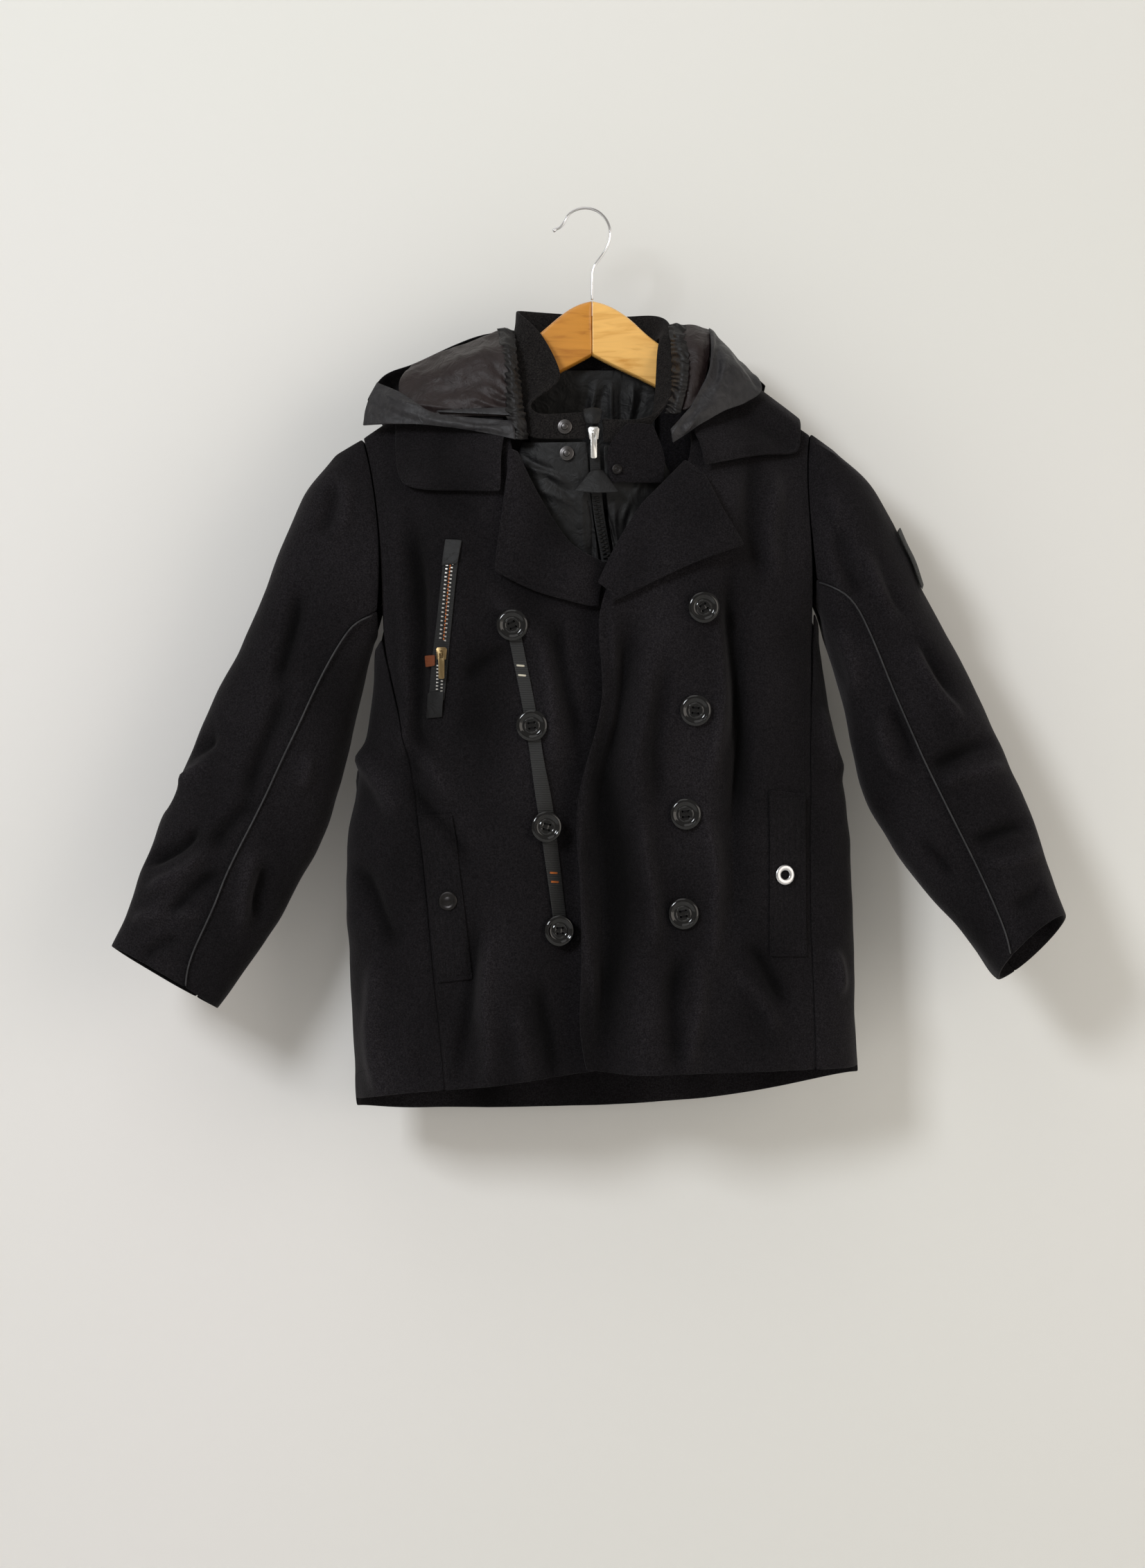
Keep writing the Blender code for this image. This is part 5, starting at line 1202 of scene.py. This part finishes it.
def sewing(cloth):
    press_seams(cloth)
    for name, on, (_, _, count), points in STITCHES:
        tree = piece_tree(*(cloth[node] for node in on))
        sew("stitches_" + name, [dropped_line(tree, rounded_route(points, count))])
    back = piece_tree(cloth["back"])
    sew("stitches_hem_back", [dropped_line(back, rounded_route(BACK_HEM, 50), 1)])
    for name, on, (_, _, count), points in STITCHES:
        if name.startswith("cuff"):
            tree = piece_tree(*(cloth[node] for node in on))
            sew("stitches_back_" + name, [dropped_line(tree, rounded_route(points, count), 1)])
    for node, corners in WELTS.items():
        routes = list(welt_rows(corners))
        for route in routes:
            groove(cloth[node], route, 1.3, 0.7)
        tree = piece_tree(cloth[node])
        sew("stitches_" + node, [dropped_line(tree, route) for route in routes], radius=0.3)


TAPE_STRIPES = (
    # x and z of the middle, colour
    (-50.2, -364.5, "pale"), (-49, -372, "pale"), (-24.6, -525, "orange"), (-23.7, -532, "orange"),
)


def tape_stripes(cloth):
    tree = piece_tree(cloth["button_tape"])
    pale = Finish("pale_thread", (0.6, 0.56, 0.46), 0.7)
    pale.raised(pale.noise(0.8), 0.1, 0.6)
    for colour, material, slot in (
        ("pale", pale.material, "black_tape"), ("orange", ORANGE_TAPE, "orange_tape"),
    ):
        shape = bmesh.new()
        for x, z, kind in TAPE_STRIPES:
            if kind != colour:
                continue
            for lift in (-0.35, 0.35):
                ends = [drop(tree, x + reach, z + lift - reach * 0.08) for reach in (-3.8, 3.8)]
                if all(ends):
                    add_thread(shape, ends[0][0], ends[1][0], ends[0][1], 0.42)
        new_piece("tape_stripes_" + colour, shape, material)


def pipings():
    for side in ("left", "right"):
        node = "sleeve_piping_" + side
        piece = fine_copy(node, 1, 0.0)
        table = SLEEVE_RIGHT_CREASES if side == "right" else SLEEVE_LEFT_CREASES
        crease(piece, sleeve_ways(side), table, mirrored_back(side))
        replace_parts(finish_with(piece, PIPING), node)


# ---- wall, lights and camera

WALL_BEHIND = 84.0
WALL_MIDDLE = -200.0
FLOOR_BELOW = -1290.0
WALL_SIZE = (7.0, 2.3)      # metres
FLOOR_SIZE = (7.0, 5.0)


def clear_from_behind(finish):
    """Lets a view from behind look through a wall, which stays solid from the front."""
    tree = finish.tree
    clear = tree.nodes.new("ShaderNodeBsdfTransparent")
    which = tree.nodes.new("ShaderNodeNewGeometry")
    mix = tree.nodes.new("ShaderNodeMixShader")
    tree.links.new(which.outputs["Backfacing"], mix.inputs[0])
    tree.links.new(finish.shader.outputs["BSDF"], mix.inputs[1])
    tree.links.new(clear.outputs["BSDF"], mix.inputs[2])
    tree.links.new(mix.outputs[0], tree.nodes["Material Output"].inputs["Surface"])


def stage():
    plaster = Finish("wall_paint", (0.79, 0.79, 0.76), 0.9)
    plaster.colours(plaster.noise(900.0, 2.0), (0.3, (0.80, 0.80, 0.765)), (0.8, (0.83, 0.81, 0.80)))
    plaster.raised(plaster.noise(2.0), 0.05, 0.3)
    clear_from_behind(plaster)
    upright = Matrix.Rotation(math.pi / 2, 4, "X")
    for name, middle, turn, size in (
        ("backdrop_wall", (0, WALL_BEHIND, WALL_MIDDLE), upright, WALL_SIZE),
        ("floor", (0, WALL_BEHIND - FLOOR_SIZE[1] / 2 / MM, FLOOR_BELOW), Matrix.Identity(4), FLOOR_SIZE),
    ):
        bpy.ops.mesh.primitive_plane_add(size=1.0)
        plane = bpy.context.active_object
        plane.name = name
        place = Matrix.Translation(Vector(middle) * MM) @ turn
        plane.data.transform(place @ Matrix.Diagonal((*size, 1.0, 1.0)))
        plane.data.materials.append(plaster.material)


def area_light(name, place, aim, size, power, colour):
    data = bpy.data.lights.new(name, "AREA")
    data.energy = power
    data.size = size
    data.color = colour
    light = link_new(name, data)
    light.location = place
    light.rotation_euler = (Vector(aim) - Vector(place)).to_track_quat("-Z", "Y").to_euler()


CAMERA_PLACE = (-0.010, -2.4, -0.456)
FRAME_TALL = 1.245      # what the picture's height covers at the hanger's plane, in metres


def camera_and_lights():
    bpy.context.scene.view_settings.view_transform = "Standard"
    area_light("key", (-1.5, -2.6, 0.85), (0.15, 0.0, -0.5), 0.7, 46.0, (0.93, 0.965, 1.0))
    area_light("fill", (2.5, -2.2, -0.1), (0.3, 0.0, -0.5), 2.2, 27.0, (1.0, 0.93, 0.84))
    area_light("top", (-0.4, -1.2, 1.8), (0.0, 0.0, -0.3), 1.6, 6.0, (1.0, 1.0, 0.98))
    world = bpy.data.worlds.new("studio")
    bpy.context.scene.world = world
    world.use_nodes = True
    world.node_tree.nodes["Background"].inputs["Color"].default_value = (1.0, 0.95, 0.87, 1.0)
    world.node_tree.nodes["Background"].inputs["Strength"].default_value = 0.34
    data = bpy.data.cameras.new("photo_camera")
    data.sensor_width = 36.0
    data.lens = 36.0 * -CAMERA_PLACE[1] / FRAME_TALL
    camera = link_new("photo_camera", data)
    camera.location = CAMERA_PLACE
    camera.rotation_euler = (math.pi / 2.0, 0.0, 0.0)
    bpy.context.scene.camera = camera


# ---- the whole coat

camera_and_lights()
stage()
cloth = cloth_pieces()
crease_cloth(cloth)
hanger_pieces()
pipings()
buttons()
snaps()
zips(cloth)
sewing(cloth)
tape_stripes(cloth)
